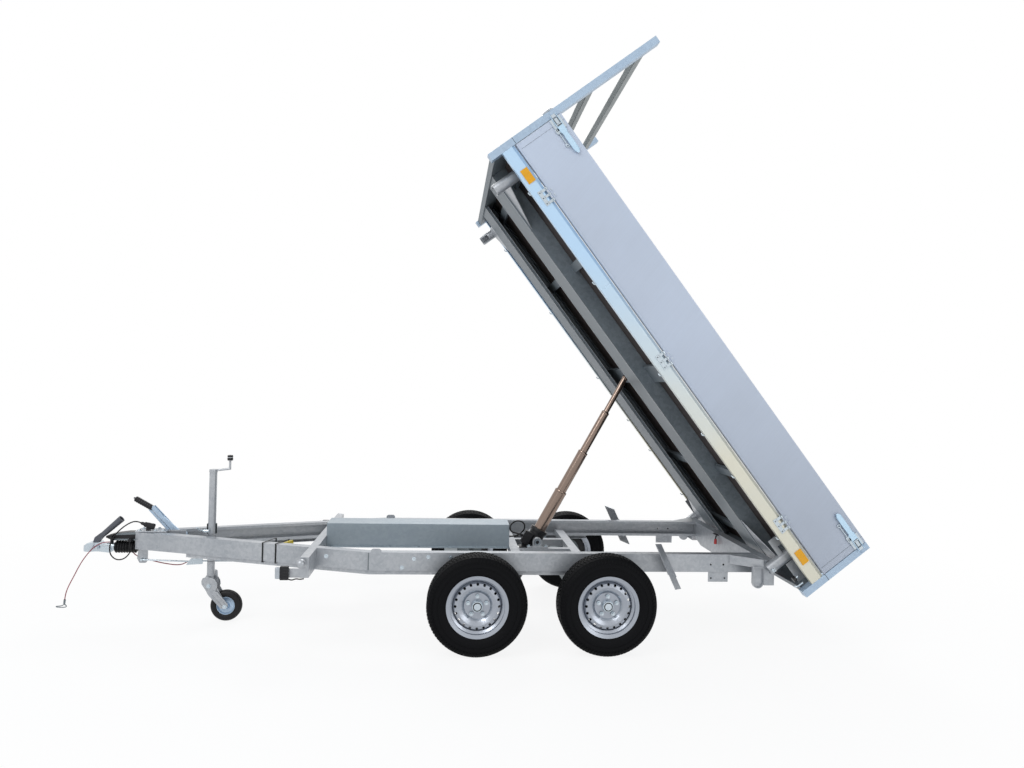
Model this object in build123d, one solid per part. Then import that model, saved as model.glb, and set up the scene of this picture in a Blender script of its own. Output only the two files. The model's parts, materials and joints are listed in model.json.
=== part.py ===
from build123d import *
import math
import os

# Tandem-axle tipping trailer, parked on its jockey wheel with the bed raised.
# Millimetres. X runs rearward from the centre of the tow ball, Y to the far side
# (the trailer's right), Z up from the ground while the pieces are made. At the
# end every piece moves down by BALL_Z, so that the origin is the ball's centre.

# Running gear
BALL_Z = 455.0            # height of the tow ball's centre above the ground
WHEEL_R = 294.5           # 185/70 R13 tyre
TYRE_W = 185.0
BEAD_R = 165.0            # rim seat radius, 13 inch
FLANGE_R = 181.0
TRACK = 1489.0
AXLE_X = 2498.0           # front axle
AXLE_GAP = 768.0
RIM_W = 152.0             # over the flanges
HUB_R = 30.0
DISC_CROWN_R = 112.0      # where the wheel disc bulges out furthest
HOLE_RING_R = 128.0       # ring of round vents in the disc
HOLE_R = 8.0
HOLE_COUNT = 20
DRUM_R = 116.0
DRUM_W = 62.0
DRUM_STEP_R = 94.0        # inboard shoulder of the drum's backplate
WHEEL_SET = 26.0          # wheel's seat on the drum, outboard of its middle plane
SEAT_GAP = 0.3            # clearance between faces that turn or rest on each other
AXLE_TUBE = 90.0          # square axle tube
AXLE_TUBE_AHEAD = 150.0   # its centre ahead of the hub and above it
AXLE_TUBE_UP = 70.0
AXLE_ARM_Y = 535.0        # inner face of a trailing arm
AXLE_ARM_T = 40.0
AXLE_ARM_H = 64.0         # arm's height at the hub
AXLE_PLATE_T = 15.0
AXLE_PLATE_L = 140.0

# Chassis
BEAM_Y = 590.0            # outer face of the side beams
BEAM_TOP = 558.0
BEAM_H = 110.0
BEAM_FLANGE = 60.0
BEAM_WALL = 5.0
BEAM_LIP = 18.0
KINK_X = 1849.0           # where the side beams turn into the drawbar
NOSE_X = 290.0            # front end of the drawbar
NOSE_Y = 45.0             # outer face of a drawbar arm at the nose
REAR_X = 4240.0           # rear end of the side beams
KINK_TAB = (1862.0, 1925.0)   # upright tab on each beam behind the bend
KINK_TAB_H = 22.0
RAIL_FRONT_X = 650.0      # channel under each arm and beam, that the axles hang on
RAIL_H = 25.0
RAIL_W = 46.0
RAIL_SET = 12.0
RAIL_T = 4.0
TAB_X = 3997.0            # two bolt holes in the web behind the rear wheel
TAB_PITCH = 80.0
TAB_Z = 495.0
TAB_HOLE_R = 6.5
CROSS_W = 50.0            # front cross beam
CROSS_BEHIND = 13.0       # its middle behind the front balls
CROSS_DROP = 8.0          # its underside below the side beams
CROSS_END = 36.0          # end of a cross beam, short of the ball's centre
LAMP_PLATE = (70.0, 52.0, 6.0)    # plate ahead of each end: length, height, thickness
REAR_CROSS_W = 62.0
REAR_CROSS_LOW = 403.0
REAR_NOTCH = ((600.0, 403.0), (600.0, 435.0), (520.0, 435.0), (400.0, 403.0))
PIVOT_SET = 35.0          # rear balls behind the ends of the side beams
PIVOT_Z = 530.0           # the four ball heads
PIVOT_R = 27.0
PIVOT_STUB_R = 15.0
CRADLE_X = (2765.0, 3165.0)   # cross members that carry the cylinder
CRADLE_W = 60.0
CRADLE_H = 47.0
CRADLE_Y = 150.0
CRADLE_TOP = 497.0
BAR_W = 40.0
BEARING_R = 31.0
BEARING_W = 34.0
FOOT_L = 139.0            # bearing's foot plate
FOOT_T = 10.0
PUMP_W = 200.0            # folded cover over the pump
PUMP_Z = (485.0, 640.0)
PUMP_FOOT = 25.0
PUMP_WALL = 4.0
EAR_X = 4170.0            # open pressed ear at each rear corner
EAR_Z = (383.0, 513.0)
EAR_W = 74.0
EAR_DEEP = 25.0
GUSSET_X = 4075.0         # where the rear corner gusset leaves the web
GUSSET_H = 56.0
SHEET = 5.0               # folded brackets
FLAP_TOP = ((3565.0, 723.0, 648.0), (3621.0, 648.0, 633.0))
FLAP_LEAN = (131.0, 2.0, -274.0)   # down the leaning bracket behind the rear wheel
FLAP_WEB = ((3623.0, 590.0, 556.0), (3658.0, 648.0, 556.0), (3719.0, 648.0, 430.0), (3684.0, 590.0, 430.0))

# Tipping bed: u runs rearward from the front face, v up from the post feet
TIP_ANGLE = 52.24
BED_L = 3163.5
BED_W = 1810.0
SOCKET_U = 164.6          # front sockets behind the front face
SOCKET_BACK = 210.9       # rear sockets ahead of the rear face
SOCKET_IN = 139.0         # sockets inboard of the side
SOCKET_WALL = 6.0
SOCKET_PLAY = 1.0
PIVOT_V = -25.0
POST_U = 43.0
POST_Y = 55.0
POST_TOP = 481.0
POST_SPLIT = 168.0
RACK_TOP = 1203.0
RAIL_LOW = 38.0
RAIL_TOP = 152.0
RAIL_WALL = 4.0
RAIL_FOOT = 45.0
FLOOR_V = 125.0
FLOOR_T = 15.0
FLOOR_GAP = 2.0           # between the floor's edge and the drop sides and posts
LONG_LOW = 26.0           # underside of the bed's two long members
LONG_OUT = 530.0
LONG_IN = 270.0
EYE_AHEAD = 1345.6        # cylinder's head ahead of the rear balls
OUTRIGGER_BEHIND = 630.4  # outriggers behind the front and ahead of the rear sockets
OUTRIGGER_AHEAD = 602.6
CROSS_HALF = 30.0
MIDDLE_HALF = 60.0
CROSS_T = 24.0
END_LOW = 17.0            # underside of the members between the posts
END_SET = 3.0
GUSSET_T = 4.0            # plates between the sockets and the long members
GUSSET_RUN = (285.0, 252.0)       # along the web from the front and rear sockets
GUSSET_V = (34.0, 30.0)
SIDE_PLATES = ((-143.0, 29.0, 35.0, 66.0), (34.0, 205.0, 42.0, 100.0))   # along, along, low, high
SIDE_PLATE_Y = 780.0
RACK_U = 8.0
RACK_UPPER = (1037.0, 1099.0)
RACK_LOWER = (678.0, 731.0)
BOARD_T = 25.0
BOARD_LOW = 162.0
HINGE_V = 157.0
HINGE_OUT = 10.0          # hinge line outside the bed's side
HINGE_FRONT = 384.0       # first hinge from the front face
HINGE_REAR = 440.5        # last hinge from the rear face
HINGE_SHIFT = 43.75       # middle hinge ahead of the bed's middle
HINGE_HALF = 28.0
HINGE_PLAY = 0.5
HINGE_LEAF_T = 4.0
KNUCKLE_R = 5.0
BEAD_ROUND = 6.0          # rounded lower edge of a drop side
BEAD_V = 168.0
STILE_W = 37.0
STILE_T = 1.5
BOARD_GAP = 5.0           # between a board and a post
REFLECTOR = (90.0, 5.0, 92.0, 138.0)   # length, thickness, low, high
REFLECTOR_FRONT = 228.0
REFLECTOR_REAR = 213.0
LATCH_OUT = 9.0           # latch lever off the board
LATCH_T = 7.0
LATCH_FRONT = (17.0, 292.0)       # from the front face
LATCH_REAR = (14.0, 295.0)        # from the rear face
LATCH_V = (413.0, 451.0)
LATCH_SPACER = 40.0
LATCH_BOX = (113.0, 396.0, 469.0)     # rear latch housing: length, low, high
KEEPER = (8.0, 35.0, 425.0, 465.0, 4.0)   # striker on a post: from, to, low, high, thickness

# Lifting cylinder
TRUNNION_X = 2920.0
TRUNNION_Z = 535.0
EYE_V = 70.0
TRUNNION_R = 20.0
STAGE_R = (41.5, 34.0, 26.5, 21.0)
STAGE_OUT = (299.0, 310.0, 317.0)
COLLAR_TOP = 70.0
STAGE_LAP = 60.0
HOUSING_R = 54.0
HOUSING_LOW = -325.0
EYE_BALL_R = 22.0
CUP_R = 40.0
CUP_PLAY = 0.5
VALVE_AT = (2855.0, -85.0, 553.0)     # valve block beside the cylinder
VALVE_SIZE = (56.0, 34.0, 84.0)
VALVE_NUT = 16.0
VALVE_FOOT = (2800.0, 2850.0)

# Coupling, overrun device and handbrake
HEAD_W = 72.0
SOCKET_BALL_R = 25.2
BELLOWS = (150.0, 220.0, 6)   # front, rear, folds
DRAWTUBE_R = 26.0
LEVER_X = 571.0
LEVER_Z = 531.0
LEVER_Y = 22.0
BRAKE_ROD_R = 5.0
BRAKE_ROD_Z = 372.0

# Lamps
MARKER = (1336.0, 1369.0, 1413.0, 431.0, 508.0, 26.0)   # lens, body, end, low, high, width
TAIL = (37.0, 480.0, 650.0, 405.0, 475.0)   # depth, inner, outer, low, high

# Wheel chock held inside the near drawbar arm
CHOCK_X = 1240.0
CHOCK_W = 86.0

# Jockey wheel
JOCKEY_X = 790.0
JOCKEY_Y = -100.0
JOCKEY_R = 100.0
JOCKEY_W = 50.0
JOCKEY_TRAIL = 105.0
JOCKEY_TUBE_R = 24.0
JOCKEY_TUBE_TOP = 965.0
JOCKEY_TUBE_LOW = 390.0
JOCKEY_CRANK = 104.0

# Routes of what hangs free, chosen by hand: diameter and points
CABLE_D = 6.0
CABLE = [(138, -52, 495), (101, -52, 495), (62, -54, 480), (26, -55, 450), (-6, -55, 412),
         (-34, -55, 370), (-58, -55, 325), (-79, -54, 280), (-101, -53, 236), (-121, -52, 193),
         (-134, -51, 150), (-137, -50, 118)]
LEAD_D = 8.0
LEAD = [(320, -40, 620), (291, -44, 633), (250, -58, 618), (208, -66, 585), (172, -70, 546), (148, -72, 500),
        (139, -72, 452), (152, -72, 408), (188, -71, 382), (230, -70, 388), (260, -69, 416), (272, -67, 447),
        (262, -62, 475), (262, -62, 500)]
HOSE_D = 10.0
HOSE = [(2735, -50, 552), (2775, -50, 552), (2815, -58, 572), (2843, -68, 608), (2838, -80, 648),
        (2800, -92, 669), (2760, -101, 660), (2734, -111, 629), (2746, -107, 593), (2781, -92, 584)]

# Derived sizes
HALF_W = BED_W / 2
PIVOT_U = BED_L - SOCKET_BACK
PIVOT_Y = HALF_W - SOCKET_IN
REAR_PIVOT_X = REAR_X + PIVOT_SET
FRONT_PIVOT_X = REAR_PIVOT_X - (PIVOT_U - SOCKET_U)
CROSS_X = FRONT_PIVOT_X + CROSS_BEHIND
CROSS_END_Y = PIVOT_Y - CROSS_END
EYE_U = PIVOT_U - EYE_AHEAD
CROSS_U = (SOCKET_U + OUTRIGGER_BEHIND, EYE_U, PIVOT_U - OUTRIGGER_AHEAD)
HINGE_U = (HINGE_FRONT, BED_L / 2 - HINGE_SHIFT, BED_L - HINGE_REAR)
BEAM_LOW = BEAM_TOP - BEAM_H
ARM_SLOPE = (BEAM_Y - NOSE_Y) / (KINK_X - NOSE_X)
ARM_ANGLE = math.degrees(math.atan(ARM_SLOPE))
WHEEL_Y = TRACK / 2
AXLES = (("front", AXLE_X), ("rear", AXLE_X + AXLE_GAP))
SIDES = (("left", -1), ("right", 1))
BED_PLACE = Pos(REAR_PIVOT_X, 0, PIVOT_Z) * Rot(0, TIP_ANGLE, 0) * Pos(-PIVOT_U, 0, -PIVOT_V)
EYE = (BED_PLACE * Pos(EYE_U, 0, EYE_V)).position
LIFT_TURN = math.degrees(math.atan2(EYE.X - TRUNNION_X, EYE.Z - TRUNNION_Z))
LIFT_LENGTH = math.hypot(EYE.X - TRUNNION_X, EYE.Z - TRUNNION_Z)

parts = {}


def block(x0, x1, y0, y1, z0, z1):
    """A box between two corners."""
    size = Box(abs(x1 - x0), abs(y1 - y0), abs(z1 - z0))
    return Pos((x0 + x1) / 2, (y0 + y1) / 2, (z0 + z1) / 2) * size


def rod(start, end, radius):
    """A round bar from one point to another."""
    a, b = Vector(*start), Vector(*end)
    plane = Plane(origin=a, z_dir=b - a)
    return extrude(plane * Circle(radius), (b - a).length)


def tube(start, end, radius, bore):
    """A round tube from one point to another."""
    return rod(start, end, radius) - rod(start, end, bore)


def slab_y(points, y0, y1):
    """A flat plate drawn in X and Z and thick along Y."""
    face = make_face(Plane.XZ * Polyline(*points, close=True))
    return Pos(0, y0, 0) * extrude(face, y1 - y0, dir=(0, 1, 0))


def slab_z(points, z0, z1):
    """A flat plate drawn in X and Y and thick along Z."""
    return Pos(0, 0, z0) * extrude(make_face(Polyline(*points, close=True)), z1 - z0, dir=(0, 0, 1))


def slab_x(points, x0, x1):
    """A straight profile drawn in Y and Z and long along X."""
    face = make_face(Plane.YZ * Polyline(*points, close=True))
    return Pos(x0, 0, 0) * extrude(face, x1 - x0, dir=(1, 0, 0))


def turned(points, axis=Axis.Z):
    """A solid of revolution about Z from radius and height pairs."""
    face = make_face(Plane.XZ * Polyline(*points, close=True))
    return revolve(face, axis)


def sheet(corners, thickness):
    """A flat plate from its corners in space, thick to one side."""
    a, b, c = (Vector(*corner) for corner in corners[:3])
    across = (b - a).cross(c - b).normalized()
    return extrude(make_face(Polyline(*corners, close=True)), thickness, dir=across)


def mirrored(shape):
    """The same shape on the other side of the trailer."""
    return mirror(shape, Plane.XZ)


def both(shape):
    """The shape and its twin on the other side."""
    return solids_of([shape, mirrored(shape)])


def solids_of(shapes):
    """One compound of all the solids in a list of shapes."""
    found = []
    for shape in shapes:
        found.extend(shape.solids())
    return Compound(found)


def fuse(shapes):
    """Join touching shapes into one."""
    result = shapes[0]
    for shape in shapes[1:]:
        result = result + shape
    return result


def c_section(height, flange, wall, lip, out_y, low, side):
    """Outline of a channel, web outside, with lips that turn up and down."""
    inner = out_y + side * flange * -1
    web = out_y - side * wall
    top = low + height
    return [
        (out_y, low), (inner, low), (inner, low + lip), (inner + side * wall, low + lip),
        (inner + side * wall, low + wall), (web, low + wall), (web, top - wall),
        (inner + side * wall, top - wall), (inner + side * wall, top - lip),
        (inner, top - lip), (inner, top), (out_y, top),
    ]


def plain_channel(height, width, wall, out_y, low, side):
    """Outline of a channel with its web outside and no lips."""
    inner, web = out_y - side * width, out_y - side * wall
    top = low + height
    return [(out_y, low), (inner, low), (inner, low + wall), (web, low + wall),
            (web, top - wall), (inner, top - wall), (inner, top), (out_y, top)]


def chassis_beam(side):
    """One side beam with the drawbar arm that it runs into."""
    outline = c_section(BEAM_H, BEAM_FLANGE, BEAM_WALL, BEAM_LIP, side * BEAM_Y, BEAM_LOW, side)
    plane = Plane(origin=(REAR_X, 0, 0), x_dir=(0, 1, 0), z_dir=(1, 0, 0))
    face = plane * make_face(Polyline(*outline, close=True))
    path = Polyline((REAR_X, side * BEAM_Y, BEAM_LOW), (KINK_X, side * BEAM_Y, BEAM_LOW),
                    (NOSE_X, side * NOSE_Y, BEAM_LOW))
    beam = sweep(face, path=path, transition=Transition.RIGHT)
    beam -= block(NOSE_X - 200, KINK_X, side * 0.5, -side * 900, BEAM_LOW - 50, BEAM_TOP + 50)
    for x in (TAB_X - TAB_PITCH / 2, TAB_X + TAB_PITCH / 2):
        beam -= rod((x, side * (BEAM_Y - 20), TAB_Z), (x, side * (BEAM_Y + 20), TAB_Z), TAB_HOLE_R)
    x0, x1 = KINK_TAB
    tab_y = sorted((side * BEAM_Y, side * (BEAM_Y - BEAM_WALL)))
    top = BEAM_TOP + KINK_TAB_H
    tab = slab_y([(x0, BEAM_TOP), (x1, BEAM_TOP), (x1, top - 10), (x1 - 12, top), (x0 + 12, top),
                  (x0, top - 10)], *tab_y)
    return beam + tab


def arm_face_y(x, inset=0.0):
    """Distance from the middle to the outer face of a drawbar arm, less an inset."""
    return NOSE_Y + (x - NOSE_X) * ARM_SLOPE - inset / math.cos(math.radians(ARM_ANGLE))


def outside_arm(inset):
    """The room on the near side of a line along the near drawbar arm."""
    x0, x1 = NOSE_X - 200, KINK_X + 400
    points = [(x0, -arm_face_y(x0, inset)), (x1, -arm_face_y(x1, inset)), (x1, -2000), (x0, -2000)]
    return slab_z(points, 0, 1500)


def ball_head(x, side, end_y):
    """A ball on a stub that stands out of the end of a cross beam."""
    stub = rod((x, side * end_y, PIVOT_Z), (x, side * PIVOT_Y, PIVOT_Z), PIVOT_STUB_R)
    return stub + Pos(x, side * PIVOT_Y, PIVOT_Z) * Sphere(PIVOT_R)


def front_cross_beam():
    """The cross beam that passes the drawbar arms, with a ball at each end."""
    x0, x1 = CROSS_X - CROSS_W / 2, CROSS_X + CROSS_W / 2
    low = BEAM_LOW - CROSS_DROP
    full = block(x0, x1, -CROSS_END_Y, 0, low, BEAM_TOP)
    stub = full & outside_arm(0)
    middle = full - outside_arm(BEAM_FLANGE)
    length, height, thickness = LAMP_PLATE
    y = -CROSS_END_Y + thickness
    plate = block(x0 - length, x0, y, y + thickness, low, low + height)
    near = stub + ball_head(FRONT_PIVOT_X, -1, CROSS_END_Y) + plate
    centre = middle + mirrored(middle)
    return solids_of([near, mirrored(near), centre])


def rear_cross_beam():
    """The tube that closes the side beams and carries the two tipping balls."""
    x0, x1 = REAR_X, REAR_X + REAR_CROSS_W
    outline = [(0, BEAM_TOP), (CROSS_END_Y, BEAM_TOP), (CROSS_END_Y, REAR_CROSS_LOW), *REAR_NOTCH,
               (0, REAR_CROSS_LOW)]
    half = slab_x(outline, x0, x1)
    beam = half + mirrored(half)
    beam -= block(x0 + SHEET, x1 - SHEET, -CROSS_END_Y + SHEET, CROSS_END_Y - SHEET, REAR_NOTCH[1][1] + SHEET,
                  BEAM_TOP - SHEET)
    for _, side in SIDES:
        beam += ball_head(REAR_PIVOT_X, side, CROSS_END_Y)
    return beam


def corner_gusset():
    """Top plate and slanted wall between the near web and the rear cross beam's end."""
    out = CROSS_END_Y - 2 * SHEET
    corners = [(GUSSET_X, -BEAM_Y), (REAR_X, -BEAM_Y), (REAR_X, -out)]
    plate = slab_z(corners, BEAM_TOP - SHEET - 2, BEAM_TOP - 2)
    wall = sheet([(GUSSET_X, -BEAM_Y, BEAM_TOP - GUSSET_H), (REAR_X, -out, BEAM_TOP - GUSSET_H),
                  (REAR_X, -out, BEAM_TOP - 2), (GUSSET_X, -BEAM_Y, BEAM_TOP - 2)], SHEET)
    return plate + wall


def corner_ear():
    """The pressed ear under the gusset, open outwards and round at its foot."""
    low, high = EAR_Z
    x0, x1 = EAR_X, EAR_X + EAR_W - SHEET / 2
    x1 = min(x1, REAR_X)
    radius = (x1 - x0) / 2
    middle = (x0 + x1) / 2
    y_out, y_in = -CROSS_END_Y + SHEET, -CROSS_END_Y + EAR_DEEP
    body = block(x0, x1, y_out, y_in, low + radius, high)
    body += rod((middle, y_out, low + radius), (middle, y_in, low + radius), radius)
    wall = RAIL_T
    hollow = block(x0 + wall, x1 - wall, y_out, y_in - wall, low + radius, high - wall)
    hollow += rod((middle, y_out, low + radius), (middle, y_in - wall, low + radius), radius - wall)
    return body - hollow


def flap_bracket():
    """The leaning folded bracket behind the near rear wheel."""
    lean = Vector(*FLAP_LEAN)
    top = [Vector(x, -y, z) for x, y, z in FLAP_TOP]
    leaning = sheet([top[0], top[1], top[1] + lean, top[0] + lean], SHEET)
    flange = sheet([(x, -y, z) for x, y, z in FLAP_WEB], SHEET)
    return leaning + flange


def rear_brackets():
    """Corner gussets, their ears and the brackets behind the rear wheels."""
    beam_room = block(KINK_X, REAR_X, -BEAM_Y, 0, 0, BEAM_TOP + KINK_TAB_H)
    return both(solids_of([corner_gusset() + corner_ear() - beam_room, flap_bracket() - beam_room]))


def cradle_bearing(side):
    """A pipe ring on a foot plate, counterbored outside the trunnion's end."""
    y = side * CRADLE_Y
    y0, y1 = sorted((y - side * BEARING_W / 2, y + side * BEARING_W / 2))
    foot = block(TRUNNION_X - FOOT_L / 2, TRUNNION_X + FOOT_L / 2, y - BAR_W / 2, y + BAR_W / 2,
                 CRADLE_TOP, CRADLE_TOP + FOOT_T)
    stand = block(TRUNNION_X - BEARING_R, TRUNNION_X + BEARING_R, y0, y1, CRADLE_TOP + FOOT_T, TRUNNION_Z)
    ring = rod((TRUNNION_X, y0, TRUNNION_Z), (TRUNNION_X, y1, TRUNNION_Z), BEARING_R)
    bore = rod((TRUNNION_X, y0 - 1, TRUNNION_Z), (TRUNNION_X, y1 + 1, TRUNNION_Z), TRUNNION_R + 0.05)
    mouth = rod((TRUNNION_X, y + side * BEARING_W / 4, TRUNNION_Z),
                (TRUNNION_X, y + side * BEARING_W, TRUNNION_Z), TRUNNION_R + 4.6)
    return [foot, stand + ring - bore - mouth]


def cylinder_cradle():
    """Two cross members and two bars with the bearings of the cylinder."""
    cradle = []
    low, end = CRADLE_TOP - CRADLE_H, BEAM_Y - BEAM_FLANGE
    for x in CRADLE_X:
        cradle.append(block(x - CRADLE_W / 2, x + CRADLE_W / 2, -end, end, low, CRADLE_TOP))
    for _, side in SIDES:
        y = side * CRADLE_Y
        x0, x1 = CRADLE_X[0] + CRADLE_W / 2, CRADLE_X[1] - CRADLE_W / 2
        cradle.append(block(x0, x1, y - BAR_W / 2, y + BAR_W / 2, low, CRADLE_TOP))
        cradle.extend(cradle_bearing(side))
    return fuse(cradle)


def pump_box():
    """The long folded cover between the cross beam and the cylinder."""
    x0, x1 = CROSS_X + CROSS_W / 2, CRADLE_X[0] - CRADLE_W / 2
    low, high = PUMP_Z
    y = PUMP_W / 2
    cover = block(x0, x1, -y, y, low, high)
    cover -= block(x0 + PUMP_WALL, x1 - PUMP_WALL, -y + PUMP_WALL, y - PUMP_WALL, low - 1, high - PUMP_WALL)
    for _, side in SIDES:
        cover += block(x0, x1, side * y, side * (y + PUMP_FOOT), low, low + PUMP_WALL)
    return cover


def valve_block():
    """The valve block beside the cylinder, on a plate from the near bar."""
    x, y, z = VALVE_AT
    length, width, height = VALVE_SIZE
    body = Pos(x, y, z) * Rot(0, LIFT_TURN, 0) * Box(length, width, height)
    nut = rod(*valve_port(), HOSE_D * 0.8)
    x0, x1 = VALVE_FOOT
    plate = block(x0, x1, -CRADLE_Y + BAR_W / 2 - 20, y + width / 2, CRADLE_TOP, CRADLE_TOP + SHEET)
    web = slab_y([(x0 + 20, CRADLE_TOP + SHEET), (x1, CRADLE_TOP + SHEET), (x1 + 10, z), (x - 20, z)],
                 y - SHEET / 2, y + SHEET / 2)
    return body + nut + plate + web


def valve_port():
    """The ends of the hose's nut: inside the block, and where it meets the hose."""
    turn = math.radians(LIFT_TURN)
    face = Vector(*VALVE_AT) + Vector(-math.cos(turn), 0, math.sin(turn)) * (VALVE_SIZE[0] / 2)
    way = (Vector(*HOSE[-1]) - face).normalized()
    return tuple(face - way * 8), tuple(face + way * VALVE_NUT)


def axle(x):
    """A rubber-sprung axle: tube, trailing arms, stub axles and brake drums."""
    tube_x, tube_z = x - AXLE_TUBE_AHEAD, WHEEL_R + AXLE_TUBE_UP
    half = AXLE_TUBE / 2
    body = block(tube_x - half, tube_x + half, -AXLE_ARM_Y, AXLE_ARM_Y, tube_z - half, tube_z + half)
    drum_in = WHEEL_Y + WHEEL_SET - SEAT_GAP - DRUM_W
    rise = AXLE_ARM_H / 2
    outline = [(tube_x - half, tube_z - half + 5), (x, WHEEL_R - rise), (x + rise, WHEEL_R),
               (x, WHEEL_R + rise),
               (tube_x + half - 15, tube_z + half), (tube_x - half, tube_z + half)]
    drum = turned([(0, 0), (DRUM_STEP_R, 0), (DRUM_STEP_R, 10), (DRUM_R, 14), (DRUM_R, DRUM_W - 8),
                   (DRUM_R - 8, DRUM_W), (0, DRUM_W)])
    for _, side in SIDES:
        end = side * (AXLE_ARM_Y + AXLE_ARM_T)
        body += slab_y(outline, *sorted((side * AXLE_ARM_Y, end)))
        body += rod((x, end - side * 5, WHEEL_R), (x, side * drum_in, WHEEL_R), 28)
        body += Pos(x, side * drum_in, WHEEL_R) * Rot(-90 * side, 0, 0) * drum
        body += block(tube_x - AXLE_PLATE_L / 2, tube_x + AXLE_PLATE_L / 2, side * (AXLE_ARM_Y - 5),
                      side * (AXLE_ARM_Y - 5 + AXLE_PLATE_T), tube_z + half - 5, BEAM_LOW - RAIL_H)
    return body


def axle_rail(side):
    """The channel under one side beam and its arm."""
    out = side * (BEAM_Y - RAIL_SET)
    low = BEAM_LOW - RAIL_H
    rear = AXLE_X + AXLE_GAP + 120
    outline = plain_channel(RAIL_H, RAIL_W, RAIL_T, out, low, side)
    plane = Plane(origin=(rear, 0, 0), x_dir=(0, 1, 0), z_dir=(1, 0, 0))
    face = plane * make_face(Polyline(*outline, close=True))
    bend_x = KINK_X + RAIL_SET * (1 / math.cos(math.radians(ARM_ANGLE)) - 1) / ARM_SLOPE
    front_y = arm_face_y(RAIL_FRONT_X, RAIL_SET)
    path = Polyline((rear, out, low), (bend_x, out, low), (RAIL_FRONT_X, side * front_y, low))
    return sweep(face, path=path, transition=Transition.RIGHT)


def axle_rails():
    """The two channels that the axles hang on."""
    return solids_of([axle_rail(side) for _, side in SIDES])


def rim(x, side):
    """A pressed wheel: rim barrel and dished disc with a ring of vents, and its hub cap."""
    edge = RIM_W / 2
    half = edge - 6
    well = BEAD_R - 15
    outside = [(FLANGE_R, edge), (FLANGE_R, half), (BEAD_R, half - 4), (BEAD_R, half - 24), (well, half - 34)]
    inside = [(BEAD_R - 5, half - 2), (BEAD_R - 5, half - 22), (well - 5, half - 32)]
    barrel = outside + [(r, -h) for r, h in reversed(outside)]
    barrel += [(r, -h) for r, h in inside] + list(reversed(inside))
    seat = WHEEL_SET
    disc = [(HUB_R, seat + 5), (76, seat + 5), (92, seat + 20), (DISC_CROWN_R, seat + 30), (132, seat + 24),
            (BEAD_R - 18, seat + 2), (BEAD_R - 18, seat - 5), (129, seat + 18), (DISC_CROWN_R, seat + 24),
            (95, seat + 15), (80, seat), (HUB_R, seat)]
    dish = turned(disc)
    for i in range(HOLE_COUNT):
        dish -= Rot(0, 0, 360 / HOLE_COUNT * i) * Pos(HOLE_RING_R, 0, seat) * Cylinder(HOLE_R, 90)
    cap = turned([(0, seat), (HUB_R + 4, seat), (HUB_R + 4, seat + 20), (HUB_R - 2, seat + 32),
                  (0, seat + 34)])
    return Pos(x, side * WHEEL_Y, WHEEL_R) * Rot(-90 * side, 0, 0) * (turned(barrel) + dish + cap)


def tyre_shape(radius, bead, flange, width):
    """A tyre turned from a straight-sided outline, open at its beads."""
    half = width / 2
    wall = radius - flange
    # radius, distance from the middle plane
    shape = [(bead, half * 0.66), (flange + 2, half * 0.70), (flange + wall * 0.32, half * 0.96),
             (flange + wall * 0.62, half), (radius - 16, half - 7), (radius - 5, half - 19),
             (radius, half * 0.5)]
    return turned(shape + [(r, -h) for r, h in reversed(shape)])


def tyre(x, side):
    """One road tyre."""
    body = tyre_shape(WHEEL_R, BEAD_R + 0.3, FLANGE_R, TYRE_W)
    return Pos(x, side * WHEEL_Y, WHEEL_R) * Rot(-90 * side, 0, 0) * body


def overrun_housing():
    """The overrun device bolted to the nose of the drawbar."""
    nose = NOSE_X - 4
    tongue = slab_y([(98, BEAM_TOP - 39), (98, BEAM_TOP - 27), (150, BEAM_TOP - 12),
                     (nose - 60, BEAM_TOP + 10),
                     (nose - 60, BEAM_TOP), (150, BEAM_TOP - 28)], -30, 30)
    gland = block(250, 274, -72, -48, 500, 516)
    guide = block(138, 150, -60, -30, BEAM_TOP - 74, BEAM_TOP - 18)
    plate = block(nose - 60, nose + 200, -50, 50, BEAM_TOP, BEAM_TOP + 10)
    body = block(nose - 66, nose, -48, 48, BEAM_LOW - 12, BEAM_TOP)
    web = block(nose + 160, LEVER_X + 24, -4, 4, LEVER_Z - 30, BEAM_TOP + 10)
    stub = slab_y([(299, BEAM_LOW), (290, 380), (306, 350), (345, 350), (352, 372), (352, BEAM_LOW)], -12, 12)
    stub -= rod((324, -20, 374), (324, 20, 374), 8)
    return body + plate + web + stub + tongue + gland + guide


def coupling_head():
    """The ball coupling with the drawtube behind it."""
    outline = [(-44, BALL_Z - 26), (-48, BALL_Z - 8), (-38, BALL_Z + 11), (-8, BALL_Z + 30),
               (56, BALL_Z + 32),
               (70, BALL_Z + 16), (128, BALL_Z + 15), (128, BALL_Z - 34), (60, BALL_Z - 26)]
    half = HEAD_W / 2
    plan = rod((0, 0, BALL_Z - 80), (0, 0, BALL_Z + 80), half + 12)
    plan += block(0, 128, -half, half, BALL_Z - 80, BALL_Z + 80)
    head = slab_y(outline, -half - 12, half + 12) & plan
    head += rod((100, 0, BALL_Z), (BELLOWS[0], 0, BALL_Z), DRAWTUBE_R)
    head -= Pos(0, 0, BALL_Z) * Sphere(SOCKET_BALL_R)
    head -= rod((0, 0, BALL_Z), (0, 0, BALL_Z - 80), SOCKET_BALL_R)
    bolt = rod((51, -half - 9, BALL_Z + 2), (51, half + 9, BALL_Z + 2), 9)
    return head + bolt


def coupling_handle():
    """The grip that opens the coupling, a tapered tube open at its end."""
    start, end = Vector(58, 0, BALL_Z + 68), Vector(184, 0, BALL_Z + 184)
    plane = Plane(origin=start, z_dir=end - start)
    length = (end - start).length
    grip = extrude(plane * Circle(17), length, taper=-1.6)
    grip -= extrude(Plane(origin=end, z_dir=start - end) * Circle(17), length * 0.7)
    foot = BALL_Z + 32.3
    base = slab_y([(12, foot), (50, foot), (84, foot + 46), (60, foot + 60), (22, foot + 30)], -15, 15)
    return base + grip


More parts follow.
